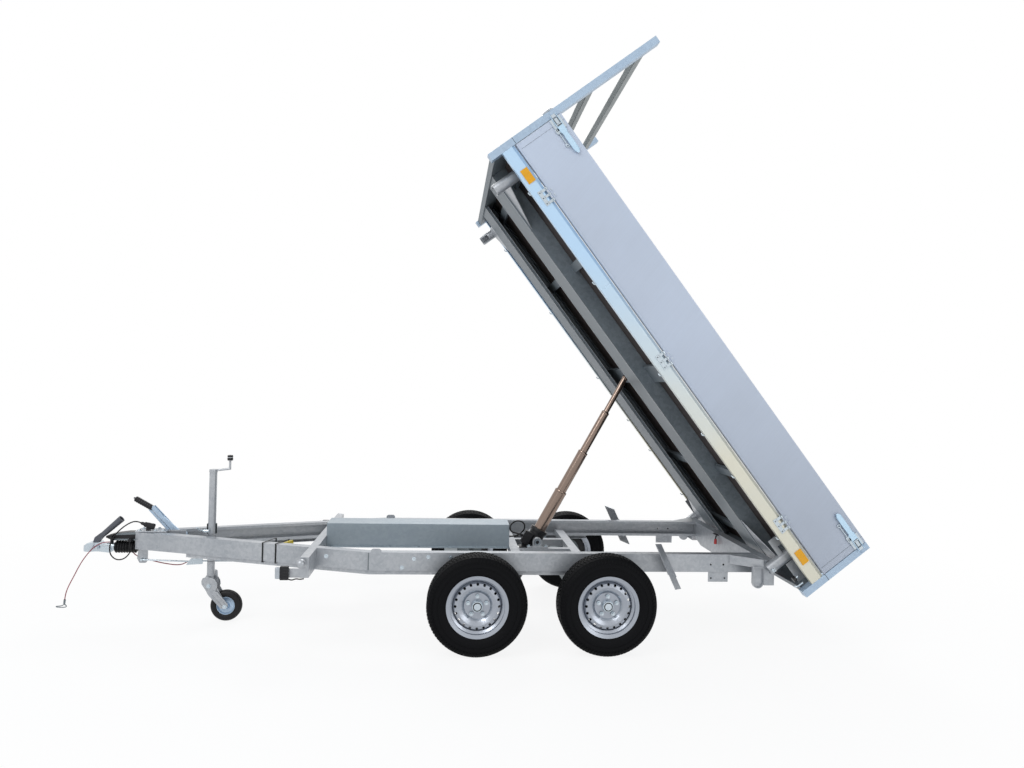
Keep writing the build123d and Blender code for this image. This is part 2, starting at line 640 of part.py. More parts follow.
def bellows():
    """The folded rubber boot over the drawtube."""
    x0, x1, folds = BELLOWS
    pitch = (x1 - x0) / folds
    points = [(0, 0), (30, 0)]
    for i in range(folds):
        points.extend([(41, pitch * (i + 0.5)), (33, pitch * (i + 1))])
    points.append((0, pitch * folds))
    return Pos(x0, 0, BALL_Z) * Rot(0, 90, 0) * turned(points)


def brake_linkage():
    """The brake rod from the overrun device to the front axle, with its relay plate."""
    z, r = BRAKE_ROD_Z, BRAKE_ROD_R
    axle_face = AXLE_X - AXLE_TUBE_AHEAD - AXLE_TUBE / 2
    pin = rod((324, -30, 374), (324, 30, 374), 8 - SEAT_GAP)
    front = pin + rod((324, -22, 374), (670, -60, z), r)
    relay = slab_y([(621, 351), (724, 358), (724, 393), (650, 393)], -66, -54)
    rear = rod((716, -60, z + 5), (axle_face - 2, 0, z), r)
    bar = block(axle_face - 8, axle_face, -70, 70, z - 14, z + 14)
    return front + relay + rear + bar


def route(points, diameter):
    """A tube along straight runs with tangent arcs between them, and its smallest radius."""
    corners = [Vector(*p) for p in points]
    radii = []
    for a, b, c in zip(corners, corners[1:], corners[2:]):
        turn = math.radians((b - a).get_angle(c - b))
        radii.append(0.45 * min((b - a).length, (c - b).length) / math.tan(turn / 2))
    path = FilletPolyline(*corners, radius=radii)
    plane = Plane(origin=corners[0], z_dir=corners[1] - corners[0])
    tube_solid = sweep(plane * Circle(diameter / 2), path=path)
    share = tube_solid.volume / (math.pi * diameter ** 2 / 4 * path.length)
    print("length", round(path.length, 1), "volume share", round(share, 4),
          "radii", [round(r) for r in radii])
    return tube_solid


def breakaway_hook():
    """The snap hook on the end of the breakaway cable."""
    x, y, z = CABLE[-1]
    way = (Vector(*CABLE[-1]) - Vector(*CABLE[-2])).normalized()
    body = rod((x, y, z), tuple(Vector(x, y, z) + way * 34), 7)
    hook = slab_y([(x - 2, z - 30), (x + 14, z - 34), (x + 10, z - 46), (x - 20, z - 52), (x - 54, z - 48),
                   (x - 54, z - 40), (x - 22, z - 41), (x - 14, z - 36)], y - 4, y + 4)
    return body + hook


def plug():
    """The lamp plug, resting over the nose plate."""
    start = Vector(*LEAD[0])
    way = (start - Vector(*LEAD[1])).normalized()
    neck = start + way * 24
    gland = rod(tuple(start), tuple(neck), 11)
    body = rod(tuple(neck), tuple(neck + Vector(62, 8, -20)), 18)
    collar = rod(tuple(neck + Vector(42, 5, -14)), tuple(neck + Vector(58, 7, -19)), 20)
    x, y, z = tuple(neck)
    foot = block(x + 12, x + 36, y - 5, y + 15, BEAM_TOP + 10, z - 8)
    return gland + body + collar + foot


def marker_lamps():
    """Front marker lamps on the plates ahead of the front cross beam."""
    x0, x1, x2, low, high, width = MARKER
    y = -CROSS_END_Y + LAMP_PLATE[2]
    lens = slab_z([(x0 + 6, y), (x0, y - 6), (x0 + 3, y - width + 5), (x0 + 12, y - width),
                   (x1, y - width), (x1, y)], low + 4, high - 4)
    return both(lens + block(x1, x2, y - width, y, low, high))


def tail_lamps():
    """Rear lamps behind the rear cross beam."""
    depth, inner, outer, low, high = TAIL
    x = REAR_X + REAR_CROSS_W
    lamp = block(x, x + depth, -outer, -inner, low, high)
    return both(fillet(lamp.edges().group_by(Axis.X)[-1], 6))


def arm_place(x):
    """The frame of the near arm at x: along the arm, inward from its outer face, up."""
    return Pos(x, -arm_face_y(x), 0) * Rot(0, 0, -ARM_ANGLE)


def wheel_chock():
    """The moulded wheel chock held against the inner side of the near arm."""
    outline = [(-69, 445), (69, 445), (56, 560), (30, 556), (2, 536), (-26, 506), (-50, 476), (-66, 455)]
    body = slab_y(outline, BEAM_FLANGE + SEAT_GAP, BEAM_FLANGE + CHOCK_W)
    pocket = slab_y([(-30, 455), (58, 455), (48, 540), (30, 534), (0, 506)],
                    BEAM_FLANGE + 12, BEAM_FLANGE + CHOCK_W + 1)
    rib = slab_y([(-30, 450), (0, 450), (40, 545), (24, 545)], BEAM_FLANGE + 10, BEAM_FLANGE + CHOCK_W)
    return arm_place(CHOCK_X) * (body - pocket + (rib & body))


def handbrake_lever():
    """The handbrake lever, pulled down, with its grip."""
    y = LEVER_Y
    bend = (LEVER_X - 205, y, LEVER_Z + 176)
    lever = rod((LEVER_X, y, LEVER_Z), bend, 9)
    second = rod((LEVER_X - 50, y - 12, LEVER_Z + 12), (LEVER_X - 170, y - 6, LEVER_Z + 140), 5)
    grip = rod(bend, (bend[0] - 106, y, bend[2] + 60), 16)
    boss = rod((LEVER_X, 4, LEVER_Z), (LEVER_X, y + 14, LEVER_Z), 24)
    sector = slab_y([(LEVER_X - 72, LEVER_Z - 8), (LEVER_X, LEVER_Z - 20), (LEVER_X + 10, LEVER_Z + 10),
                     (LEVER_X - 60, LEVER_Z + 24)], 4, 10)
    return lever + second + grip + boss + sector


def jockey_outer_tube():
    """Outer tube of the jockey leg with its clamp, crank and knob."""
    x, y = JOCKEY_X, JOCKEY_Y
    shell = tube((x, y, JOCKEY_TUBE_LOW), (x, y, JOCKEY_TUBE_TOP), JOCKEY_TUBE_R, JOCKEY_TUBE_R - 3)
    cap = rod((x, y, JOCKEY_TUBE_TOP), (x, y, JOCKEY_TUBE_TOP + 18), JOCKEY_TUBE_R + 2)
    end = x + JOCKEY_CRANK
    crank = rod((x, y, JOCKEY_TUBE_TOP + 10), (end + 4, y, JOCKEY_TUBE_TOP + 24), 7)
    crank += rod((end, y, JOCKEY_TUBE_TOP + 18), (end, y, JOCKEY_TUBE_TOP + 100), 7)
    knob = rod((end, y, JOCKEY_TUBE_TOP + 78), (end, y, JOCKEY_TUBE_TOP + 110), 17)
    return shell + cap + crank + knob


def jockey_clamp():
    """The clamp between the drawbar arm and the jockey leg."""
    x, y = JOCKEY_X, JOCKEY_Y
    ring = tube((x, y, BEAM_TOP + 8), (x, y, BEAM_TOP + 72), JOCKEY_TUBE_R + 8, JOCKEY_TUBE_R)
    arm_y = -arm_face_y(x - 70) + 4
    plate = block(x - 70, x + 20, y - 37, y - 31, BEAM_TOP + 6, BEAM_TOP + 76)
    foot = block(x - 70, x + 20, arm_y, y - 31, BEAM_TOP, BEAM_TOP + 6)
    return ring + plate + foot


def jockey_leg():
    """Inner tube and fork of the jockey wheel."""
    x, y = JOCKEY_X, JOCKEY_Y
    inner = rod((x, y, 235), (x, y, 700), JOCKEY_TUBE_R - 3.5)
    neck = block(x - 28, x + 40, y - 33, y + 33, 218, 236)
    leg = inner + neck
    for side in (-1, 1):
        y0, y1 = sorted((y + side * 29, y + side * 33))
        leg += slab_y([(x - 28, 236), (x + 40, 236), (x + JOCKEY_TRAIL + 18, JOCKEY_R),
                       (x + JOCKEY_TRAIL, JOCKEY_R - 18), (x + JOCKEY_TRAIL - 18, JOCKEY_R)], y0, y1)
    leg += rod((x + JOCKEY_TRAIL, y - 36, JOCKEY_R), (x + JOCKEY_TRAIL, y + 36, JOCKEY_R), 8)
    return leg


def jockey_wheel():
    """Rim and tyre of the jockey wheel, turned about its axle."""
    half = JOCKEY_W / 2
    rim_shape = turned([(8.05, -27), (14, -27), (14, -8), (58, -14), (58, 14), (14, 8), (14, 27), (8.05, 27)])
    tyre_outline = turned([(58.3, -half + 6), (80, -half), (92, -half + 4), (JOCKEY_R, -half + 14),
                           (JOCKEY_R, half - 14), (92, half - 4), (80, half), (58.3, half - 6)])
    place = Pos(JOCKEY_X + JOCKEY_TRAIL, JOCKEY_Y, JOCKEY_R) * Rot(90, 0, 0)
    return place * rim_shape, place * tyre_outline


def bed(shape):
    """Raise a piece of the bed from its own u, y, v frame to its tipped place."""
    return BED_PLACE * shape


def corner_posts():
    """Four corner posts with their strikers; the front pair run on up to the rack."""
    k0, k1, k_low, k_high, k_out = KEEPER
    posts = []
    for u0, top in ((0, RACK_TOP), (BED_L - POST_U, POST_TOP)):
        foot = block(u0, u0 + POST_U, -HALF_W, -HALF_W + POST_Y, 0, POST_SPLIT)
        stake = block(u0, u0 + POST_U, -HALF_W, -HALF_W + POST_Y, POST_SPLIT, top)
        edge = u0 if u0 == 0 else BED_L - k0 - k1
        striker = block(edge + k0, edge + k1, -HALF_W - k_out, -HALF_W, k_low, k_high)
        posts.append(foot + stake + striker)
    return both(solids_of(posts))


def side_rails():
    """The folded rails along both sides, with the ledge that the floor lies on."""
    out = -HALF_W
    web = out + RAIL_WALL
    outline = [(out, RAIL_LOW), (out + RAIL_FOOT, RAIL_LOW), (out + RAIL_FOOT, RAIL_LOW + RAIL_WALL),
               (web, RAIL_LOW + RAIL_WALL), (web, FLOOR_V - RAIL_WALL),
               (out + RAIL_FOOT, FLOOR_V - RAIL_WALL),
               (out + RAIL_FOOT, FLOOR_V), (web, FLOOR_V), (web, RAIL_TOP), (out, RAIL_TOP)]
    return both(slab_x(outline, POST_U, BED_L - POST_U))


def bed_long(side):
    """One of the two long folded members under the floor."""
    low, top = LONG_LOW, FLOOR_V
    out, inn = side * LONG_OUT, side * LONG_IN
    outline = [(out, low), (inn, low), (inn, low + 20), (inn + side * 4, low + 20), (inn + side * 4, low + 4),
               (out - side * 4, low + 4), (out - side * 4, top - 4), (out - side * 64, top - 4),
               (out - side * 64, top), (out, top)]
    return slab_x(outline, POST_U, BED_L - POST_U)


def bed_cross_members():
    """Cross members between and outside the long members, and the end members."""
    top = FLOOR_V - RAIL_WALL
    low = top - CROSS_T
    members = []
    for u in (SOCKET_U, *CROSS_U, PIVOT_U):
        half = MIDDLE_HALF if u == EYE_U else CROSS_HALF
        members.append(block(u - half, u + half, -LONG_OUT + 4, LONG_OUT - 4, low, top))
        for _, side in SIDES:
            members.append(block(u - half, u + half, side * LONG_OUT, side * (HALF_W - 4), low, top))
    y = HALF_W - POST_Y
    members.append(block(END_SET, POST_U, -y, y, END_LOW, RAIL_TOP))
    members.append(block(BED_L - POST_U, BED_L - END_SET, -y, y, END_LOW, RAIL_TOP))
    return solids_of(members)


def bed_sockets():
    """Tubes that sit over the four ball heads, with their gusset plates."""
    sockets = []
    top = FLOOR_V - RAIL_WALL - CROSS_T
    bore = PIVOT_R + SOCKET_PLAY
    out = bore + SOCKET_WALL
    # place, run of the gusset, its height, its way along the bed
    rows = ((SOCKET_U, GUSSET_RUN[0], GUSSET_V[0], 1), (PIVOT_U, GUSSET_RUN[1], GUSSET_V[1], -1))
    for u, run, v, way in rows:
        shell = tube((u, -PIVOT_Y, PIVOT_V - 38), (u, -PIVOT_Y, top), out, bore)
        half = PIVOT_STUB_R + 3
        slot = block(u - half, u + half, -PIVOT_Y, -PIVOT_Y + 60, PIVOT_V - 60, PIVOT_V + half)
        edge = -PIVOT_Y + out - 3
        plate = slab_z([(u - way * CROSS_HALF, -LONG_OUT), (u - way * CROSS_HALF, edge),
                        (u + way * CROSS_HALF, edge), (u + way * run, -LONG_OUT)], v, v + GUSSET_T)
        sockets.append(shell - slot + plate)
    for along0, along1, low, high in SIDE_PLATES:
        u0, u1 = PIVOT_U + along0, min(PIVOT_U + along1, BED_L - POST_U)
        y = -SIDE_PLATE_Y
        web = block(u0, u1, y - RAIL_T, y, low, high)
        hanger = block(u0, u0 + 2 * CROSS_HALF, y - RAIL_T, y, high, FLOOR_V)
        sockets.append(web + hanger)
    return both(solids_of(sockets))


def eye_bracket():
    """The shallow cup over the cylinder's head, under the middle cross member."""
    top = FLOOR_V - RAIL_WALL - CROSS_T
    boss = rod((EYE_U, 0, EYE_V + 19), (EYE_U, 0, top), CUP_R)
    return boss - Pos(EYE_U, 0, EYE_V) * Sphere(EYE_BALL_R + CUP_PLAY)


def bed_floor():
    """The floor sheet of ply."""
    y = HALF_W - BOARD_T - FLOOR_GAP
    start = POST_U + FLOOR_GAP
    return block(start, BED_L - start, -y, y, FLOOR_V, FLOOR_V + FLOOR_T)


def end_board(u0):
    """A board between two posts across the bed."""
    y = HALF_W - POST_Y
    return block(u0, u0 + BOARD_T, -y, y, RAIL_TOP, POST_TOP - 5)


def side_board(side):
    """A drop side between the posts, with a rounded lower edge, end stiles and hinge leaves."""
    u0, u1 = POST_U + BOARD_GAP, BED_L - POST_U - BOARD_GAP
    board = block(u0, u1, side * HALF_W, side * (HALF_W - BOARD_T), BOARD_LOW, POST_TOP)
    board += rod((u0, side * HALF_W, BEAD_V), (u1, side * HALF_W, BEAD_V), BEAD_ROUND)
    for start, end in ((u0, u0 + STILE_W), (u1 - STILE_W, u1)):
        board += block(start, end, side * HALF_W, side * (HALF_W + STILE_T), BEAD_V, POST_TOP)
    for u in HINGE_U:
        for end in (-1, 1):
            near, far = u + end * (HINGE_HALF * 0.3), u + end * HINGE_HALF
            board += hinge_leaf(near, far, side, HINGE_V, BOARD_LOW + 24)
    return board


def hinge_leaf(u0, u1, side, v0, v1):
    """A leaf on the outside of the bed with its knuckle on the hinge line."""
    line_y = side * (HALF_W + HINGE_OUT)
    leaf = block(u0, u1, side * HALF_W, side * (HALF_W + HINGE_LEAF_T), v0, v1)
    step_v = (HINGE_V, HINGE_V + HINGE_LEAF_T) if v1 > HINGE_V else (HINGE_V - HINGE_LEAF_T, HINGE_V)
    step = block(u0, u1, side * HALF_W, line_y, *step_v)
    start, end = sorted((u0, u1))
    return leaf + step + rod((start, line_y, HINGE_V), (end, line_y, HINGE_V), KNUCKLE_R)


def rail_hinges():
    """The fixed leaves on the side rails."""
    half = HINGE_HALF * 0.3 - HINGE_PLAY
    leaves = [hinge_leaf(u - half, u + half, -1, HINGE_V - 45, HINGE_V - 1) for u in HINGE_U]
    return both(solids_of(leaves))


def latch_lever(u0, u1, tip):
    """A folded latch lever off the near drop side, its free end round, on its spacer."""
    low, high = LATCH_V
    radius = (high - low) / 2
    middle = (low + high) / 2
    y0, y1 = -HALF_W - LATCH_OUT - LATCH_T, -HALF_W - LATCH_OUT
    way = 1 if tip > u0 else -1
    lever = block(u0, u1 - way * radius, y0, y1, low, high)
    lever += rod((u1 - way * radius, y0, middle), (u1 - way * radius, y1, middle), radius)
    wall = LATCH_T / 3
    lever -= block(u0 + way * 12, u1 - way * radius, y0 + wall, y1, low + wall, high - wall)
    return lever


def board_latches(side):
    """Front and rear latches of one drop side."""
    front = latch_lever(*LATCH_FRONT, LATCH_FRONT[1])
    u0, u1 = BED_L - LATCH_REAR[0], BED_L - LATCH_REAR[1]
    rear = latch_lever(u0, u1, u1)
    length, low, high = LATCH_BOX
    out, face = -HALF_W - LATCH_OUT, -HALF_W
    box = block(BED_L - length, BED_L - POST_U - BOARD_GAP, out, face - STILE_T, low, high)
    front_u = POST_U + BOARD_GAP
    spacer = block(front_u, front_u + LATCH_SPACER, out, face - STILE_T, *LATCH_V)
    shape = solids_of([front + spacer, rear + box])
    return shape if side < 0 else mirrored(shape)


def ladder_rack():
    """Two box bars between the long front posts."""
    y = HALF_W - POST_Y
    return solids_of([block(RACK_U, POST_U, -y, y, *RACK_UPPER), block(RACK_U, POST_U, -y, y, *RACK_LOWER)])


def reflectors():
    """Amber reflectors on the side rails."""
    length, thickness, low, high = REFLECTOR
    marks = [block(u - length / 2, u + length / 2, -HALF_W - thickness, -HALF_W, low, high)
             for u in (REFLECTOR_FRONT, BED_L - REFLECTOR_REAR)]
    return both(solids_of(marks))


def along_cylinder(shape):
    """Place a piece of the cylinder that was made about the trunnion, along Z."""
    return Pos(TRUNNION_X, 0, TRUNNION_Z) * Rot(0, LIFT_TURN, 0) * shape


def cylinder_housing():
    """Outer tube of the cylinder with its trunnions and collar."""
    bore = STAGE_R[0] + 1
    shell = tube((0, 0, HOUSING_LOW), (0, 0, COLLAR_TOP - 25), HOUSING_R, bore)
    end = rod((0, 0, HOUSING_LOW - 12), (0, 0, HOUSING_LOW), HOUSING_R)
    collar = tube((0, 0, COLLAR_TOP - 25), (0, 0, COLLAR_TOP), HOUSING_R + 6, bore)
    housing = shell + end + collar
    for _, side in SIDES:
        housing += rod((0, side * (HOUSING_R - 4), 0), (0, side * (CRADLE_Y + BEARING_W / 4), 0), TRUNNION_R)
    return along_cylinder(housing)


def cylinder_stage(i):
    """One sliding stage, a tube that the next one slides in."""
    base = COLLAR_TOP + sum(STAGE_OUT[:i])
    low = base - STAGE_LAP
    if i < len(STAGE_OUT):
        top = base + STAGE_OUT[i]
        return along_cylinder(tube((0, 0, low), (0, 0, top), STAGE_R[i], STAGE_R[i + 1] + 1))
    top = LIFT_LENGTH
    return along_cylinder(rod((0, 0, low), (0, 0, top), STAGE_R[i] - 2) + Pos(0, 0, top) * Sphere(EYE_BALL_R))


for name, side in SIDES:
    parts[f"chassis_beam_{name}"] = chassis_beam(side)
    parts[f"side_board_{name}"] = bed(side_board(side))
    parts[f"bed_long_{name}"] = bed(bed_long(side))
    parts[f"board_latches_{name}"] = bed(board_latches(side))
parts["front_cross_beam"] = front_cross_beam()
parts["rear_cross_beam"] = rear_cross_beam()
parts["cylinder_cradle"] = cylinder_cradle()
parts["pump_box"] = pump_box()
parts["valve_block"] = valve_block()
parts["hydraulic_hose"] = route([*HOSE, valve_port()[1]], HOSE_D)
parts["rear_brackets"] = rear_brackets()
parts["marker_lamps"] = marker_lamps()
parts["tail_lamps"] = tail_lamps()
parts["brake_linkage"] = brake_linkage()
parts["wheel_chock"] = wheel_chock()
parts["breakaway_cable"] = route(CABLE, CABLE_D)
parts["breakaway_hook"] = breakaway_hook()
parts["plug_lead"] = route(LEAD, LEAD_D)
parts["plug"] = plug()
parts["axle_rails"] = axle_rails()
for name, x in AXLES:
    parts[f"axle_{name}"] = axle(x)
    for side_name, side in SIDES:
        parts[f"rim_{name}_{side_name}"] = rim(x, side)
        parts[f"tyre_{name}_{side_name}"] = tyre(x, side)
parts["overrun_housing"] = overrun_housing()
parts["coupling_head"] = coupling_head()
parts["coupling_handle"] = coupling_handle()
parts["bellows"] = bellows()
parts["handbrake_lever"] = handbrake_lever()
parts["jockey_outer_tube"] = jockey_outer_tube()
parts["jockey_clamp"] = jockey_clamp()
parts["jockey_leg"] = jockey_leg()
parts["jockey_rim"], parts["jockey_tyre"] = jockey_wheel()
parts["corner_posts"] = bed(corner_posts())
parts["side_rails"] = bed(side_rails())
parts["bed_cross_members"] = bed(bed_cross_members())
parts["bed_sockets"] = bed(bed_sockets())
parts["eye_bracket"] = bed(eye_bracket())
parts["bed_floor"] = bed(bed_floor())
parts["front_board"] = bed(end_board(12))
parts["tailgate"] = bed(end_board(BED_L - 12 - BOARD_T))
parts["ladder_rack"] = bed(ladder_rack())
parts["rail_hinges"] = bed(rail_hinges())
parts["reflectors"] = bed(reflectors())
parts["cylinder_housing"] = cylinder_housing()
for i in range(len(STAGE_R)):
    parts[f"cylinder_stage_{i + 1}"] = cylinder_stage(i)

os.makedirs("parts", exist_ok=True)
for name, shape in parts.items():
    export_step(Pos(0, 0, -BALL_Z) * shape, f"parts/{name}.step")
print("lift length", round(LIFT_LENGTH, 1), "lift turn", round(LIFT_TURN, 3))
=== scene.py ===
"""Looks of a tandem-axle tipping trailer that stands on its jockey wheel with its bed raised.

Metres. The origin is the tow ball's centre, X runs rearward, Y to the trailer's right, Z up.
"""
import json
import logging
import math
from collections.abc import Sequence
from dataclasses import dataclass, field
from enum import Enum

import bmesh
import bpy
from mathutils import Matrix, Vector

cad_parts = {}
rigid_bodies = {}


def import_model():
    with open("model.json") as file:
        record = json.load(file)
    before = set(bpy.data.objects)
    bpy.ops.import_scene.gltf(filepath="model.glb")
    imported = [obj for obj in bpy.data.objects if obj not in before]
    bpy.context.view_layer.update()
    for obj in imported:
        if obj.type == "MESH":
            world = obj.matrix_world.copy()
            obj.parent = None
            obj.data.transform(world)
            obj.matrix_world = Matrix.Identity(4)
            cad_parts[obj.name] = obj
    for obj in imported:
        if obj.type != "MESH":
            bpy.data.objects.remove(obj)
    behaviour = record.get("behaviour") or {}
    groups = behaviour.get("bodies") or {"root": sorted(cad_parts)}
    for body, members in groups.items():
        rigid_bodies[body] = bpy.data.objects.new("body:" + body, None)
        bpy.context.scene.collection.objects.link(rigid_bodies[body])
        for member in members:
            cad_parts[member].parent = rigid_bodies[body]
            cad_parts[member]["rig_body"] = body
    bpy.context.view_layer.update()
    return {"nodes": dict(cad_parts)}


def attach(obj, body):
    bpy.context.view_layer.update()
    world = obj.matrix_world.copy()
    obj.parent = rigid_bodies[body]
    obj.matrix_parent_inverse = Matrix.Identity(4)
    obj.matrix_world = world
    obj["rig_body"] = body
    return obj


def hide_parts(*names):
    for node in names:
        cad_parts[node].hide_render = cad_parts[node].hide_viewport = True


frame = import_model()
log = logging.getLogger("trailer")

Point = tuple[float, float, float]
Outline = Sequence[tuple[float, float]]

BALL_HEIGHT = 0.455       # origin above the ground
WHEEL_R = 0.2945
WHEEL_Y = 0.7445
AXLE_X = {"front": 2.498, "rear": 3.266}
WHEEL_SEAT = 0.026
TIP = math.radians(52.24)
PIVOT_X, PIVOT_Z = 4.275, 0.530 - BALL_HEIGHT
PIVOT_U, PIVOT_V = 2.9526, -0.025
BED_L, HALF_W = 3.1635, 0.905
TRUNNION = Vector((2.920, 0.0, 0.535 - BALL_HEIGHT))
LIFT_LEAN = math.radians(28.486)
SIDES = {"left": -1, "right": 1}
RAIL_REFLECTION_HEIGHTS = (1.9, 0.7)   # heights between which the rails' painted reflection turns from cool blue to warm
BOARD_LIGHT_HEIGHTS = (2.4, 0.1)  # heights between which the boards turn from pale to darker: painted light


def at(x: float, y: float, z: float) -> Vector:
    """A point whose height is given from the ground."""
    return Vector((x, y, z - BALL_HEIGHT))


def on_bed(u: float, y: float, v: float) -> Vector:
    """A point of the raised bed.

    Args:
        u: distance behind the bed's front face.
        y: sideways.
        v: height above the post feet.

    Returns:
        The point in the trailer's frame.
    """
    du, dv = u - PIVOT_U, v - PIVOT_V
    x = PIVOT_X + du * math.cos(TIP) + dv * math.sin(TIP)
    return Vector((x, y, PIVOT_Z - du * math.sin(TIP) + dv * math.cos(TIP)))


def facing(start: Vector, way: Vector) -> Matrix:
    """A place at a point, with its Z along a direction."""
    return Matrix.Translation(start) @ way.to_track_quat("Z", "Y").to_matrix().to_4x4()


def from_ground(outline: Outline) -> Outline:
    """An outline in X and Z whose heights are given from the ground."""
    return [(x, z - BALL_HEIGHT) for x, z in outline]


def span(side: int, near: float, far: float, middle: float = 0.0) -> tuple[float, float]:
    """Two faces on one side of a middle plane, as a low and a high Y.

    Args:
        side: -1 for left or 1 for right.
        near: distance of one face from the middle.
        far: distance of the other.
        middle: where the middle plane is.

    Returns:
        The lower Y, then the higher.
    """
    low, high = sorted((middle + side * near, middle + side * far))
    return low, high


BED_TURN = Matrix.Rotation(TIP, 4, "Y")
BED_PLACE = Matrix.Translation(on_bed(0, 0, 0)) @ BED_TURN
LIFT_PLACE = Matrix.Translation(TRUNNION) @ Matrix.Rotation(LIFT_LEAN, 4, "Y")
RING_POINTS = 8           # control points of a bent ring


def bed_ring(centre: Vector, radius: float) -> list[Vector]:
    """Control points of a ring that stands along the bed.

    Args:
        centre: the ring's centre.
        radius: its radius.

    Returns:
        The points in order.
    """
    turn = BED_TURN.to_3x3()
    angles = [2 * math.pi * i / RING_POINTS for i in range(RING_POINTS)]
    return [centre + turn @ Vector((radius * math.cos(a), 0, radius * math.sin(a))) for a in angles]


def add_object(name: str, data: bpy.types.ID) -> bpy.types.Object:
    """A new object in the scene that holds the data.

    Args:
        name: the object's name.
        data: its mesh, curve, light or camera.

    Returns:
        The object.
    """
    made = bpy.data.objects.new(name, data)
    bpy.context.collection.objects.link(made)
    return made


class Pattern(Enum):
    """What a finish's surface shows close up."""

    SPANGLE = "spangle"
    ROLLED_WITH_LIGHT = "rolled_with_light"
    GRAIN = "grain"
    PLY = "ply"
    PRISM = "prism"
    REFLECTION_GRADIENT = "reflection_gradient"


COLOUR, NUMBER, VECTOR = "NodeSocketColor", "NodeSocketFloat", "NodeSocketVector"
GEOMETRY, WHOLE, MATERIAL = "NodeSocketGeometry", "NodeSocketInt", "NodeSocketMaterial"
GREY = (0.5, 0.5, 0.5, 1)
ROAD_DUST = (0.32, 0.29, 0.25, 1)
DUST_DEPTH = 0.45         # how far below its top the dust is at its thickest


def new_tree(label: str, kind: str, inputs: dict[str, tuple[str, object]],
             outputs: dict[str, str]) -> bpy.types.NodeTree:
    """An empty node tree with its sockets.

    Args:
        label: the tree's name.
        kind: shader or geometry tree.
        inputs: socket name to kind and default, or None where there is no default.
        outputs: socket name to kind.

    Returns:
        The node tree, with its input and output nodes named In and Out.
    """
    tree = bpy.data.node_groups.new(label, kind)
    for name, (socket_kind, default) in inputs.items():
        socket = tree.interface.new_socket(name, in_out="INPUT", socket_type=socket_kind)
        if default is not None:
            socket.default_value = default
    for name, socket_kind in outputs.items():
        tree.interface.new_socket(name, in_out="OUTPUT", socket_type=socket_kind)
    tree.nodes.new("NodeGroupInput").name = "In"
    tree.nodes.new("NodeGroupOutput").name = "Out"
    return tree


@dataclass
class Wiring:
    """Short ways to add and join the nodes of a tree."""

    tree: bpy.types.NodeTree

    def link(self, source: bpy.types.NodeSocket, target: bpy.types.NodeSocket) -> None:
        """Join two sockets."""
        self.tree.links.new(source, target)

    def feed(self, socket: bpy.types.NodeSocket, value: object) -> None:
        """Join or set a socket.

        Args:
            socket: the input.
            value: a socket to join or a value to set.
        """
        if isinstance(value, bpy.types.NodeSocket):
            self.link(value, socket)
        else:
            socket.default_value = value

    def node(self, kind: str, inputs: dict[str | int, object]) -> bpy.types.Node:
        """A new node with some of its inputs joined or set.

        Args:
            kind: the node's type.
            inputs: an input's name or number to a socket or a value.

        Returns:
            The node.
        """
        made = self.tree.nodes.new(kind)
        for name, value in inputs.items():
            self.feed(made.inputs[name], value)
        return made

    def maths(self, operation: str, a: object, b: object) -> bpy.types.NodeSocket:
        """One step of arithmetic.

        Args:
            operation: the Math node's operation.
            a: socket or number.
            b: socket or number.

        Returns:
            The result's socket.
        """
        node = self.node("ShaderNodeMath", {0: a, 1: b})
        node.operation = operation
        return node.outputs[0]

    def weigh(self, *parts: tuple[object, float]) -> bpy.types.NodeSocket:
        """A sum of values, each times its weight.

        Args:
            parts: pairs of a socket or number and its weight.

        Returns:
            The sum's socket.
        """
        terms = [self.maths("MULTIPLY", value, weight) for value, weight in parts]
        total = terms[0]
        for term in terms[1:]:
            total = self.maths("ADD", total, term)
        return total

    def mix(self, share: object, a: object, b: object) -> bpy.types.NodeSocket:
        """A colour between two others.

        Args:
            share: how much of the second.
            a: the first colour.
            b: the second colour.

        Returns:
            The colour's socket.
        """
        node = self.tree.nodes.new("ShaderNodeMix")
        node.data_type = "RGBA"
        self.feed(node.inputs["Factor"], share)
        self.feed(node.inputs[6], a)
        self.feed(node.inputs[7], b)
        return node.outputs[2]

    def noise(self, place: object, scale: float, detail: float) -> bpy.types.NodeSocket:
        """Cloud noise from 0 to 1."""
        made = self.node("ShaderNodeTexNoise", {"Vector": place, "Scale": scale, "Detail": detail})
        return made.outputs["Fac"]

    def cells(self, place: object, scale: float) -> bpy.types.NodeSocket:
        """Cells with a random grey each."""
        colour = self.node("ShaderNodeTexVoronoi", {"Vector": place, "Scale": scale}).outputs["Color"]
        return self.node("ShaderNodeSeparateColor", {0: colour}).outputs[0]

    def height(self, place: object) -> bpy.types.NodeSocket:
        """The Z of a place."""
        return self.node("ShaderNodeSeparateXYZ", {0: place}).outputs["Z"]

    def spread(self, value: object, low: float, high: float) -> bpy.types.NodeSocket:
        """Stretch a range of a value to 0 and 1."""
        made = self.node("ShaderNodeMapRange", {"Value": value, "From Min": low, "From Max": high})
        return made.outputs["Result"]

    def mapping(self, place: object, scale: Point, turn: Point) -> bpy.types.NodeSocket:
        """Turn, then stretch a pattern."""
        turned = self.node("ShaderNodeMapping", {"Vector": place, "Rotation": turn}).outputs[0]
        return self.node("ShaderNodeMapping", {"Vector": turned, "Scale": scale}).outputs[0]


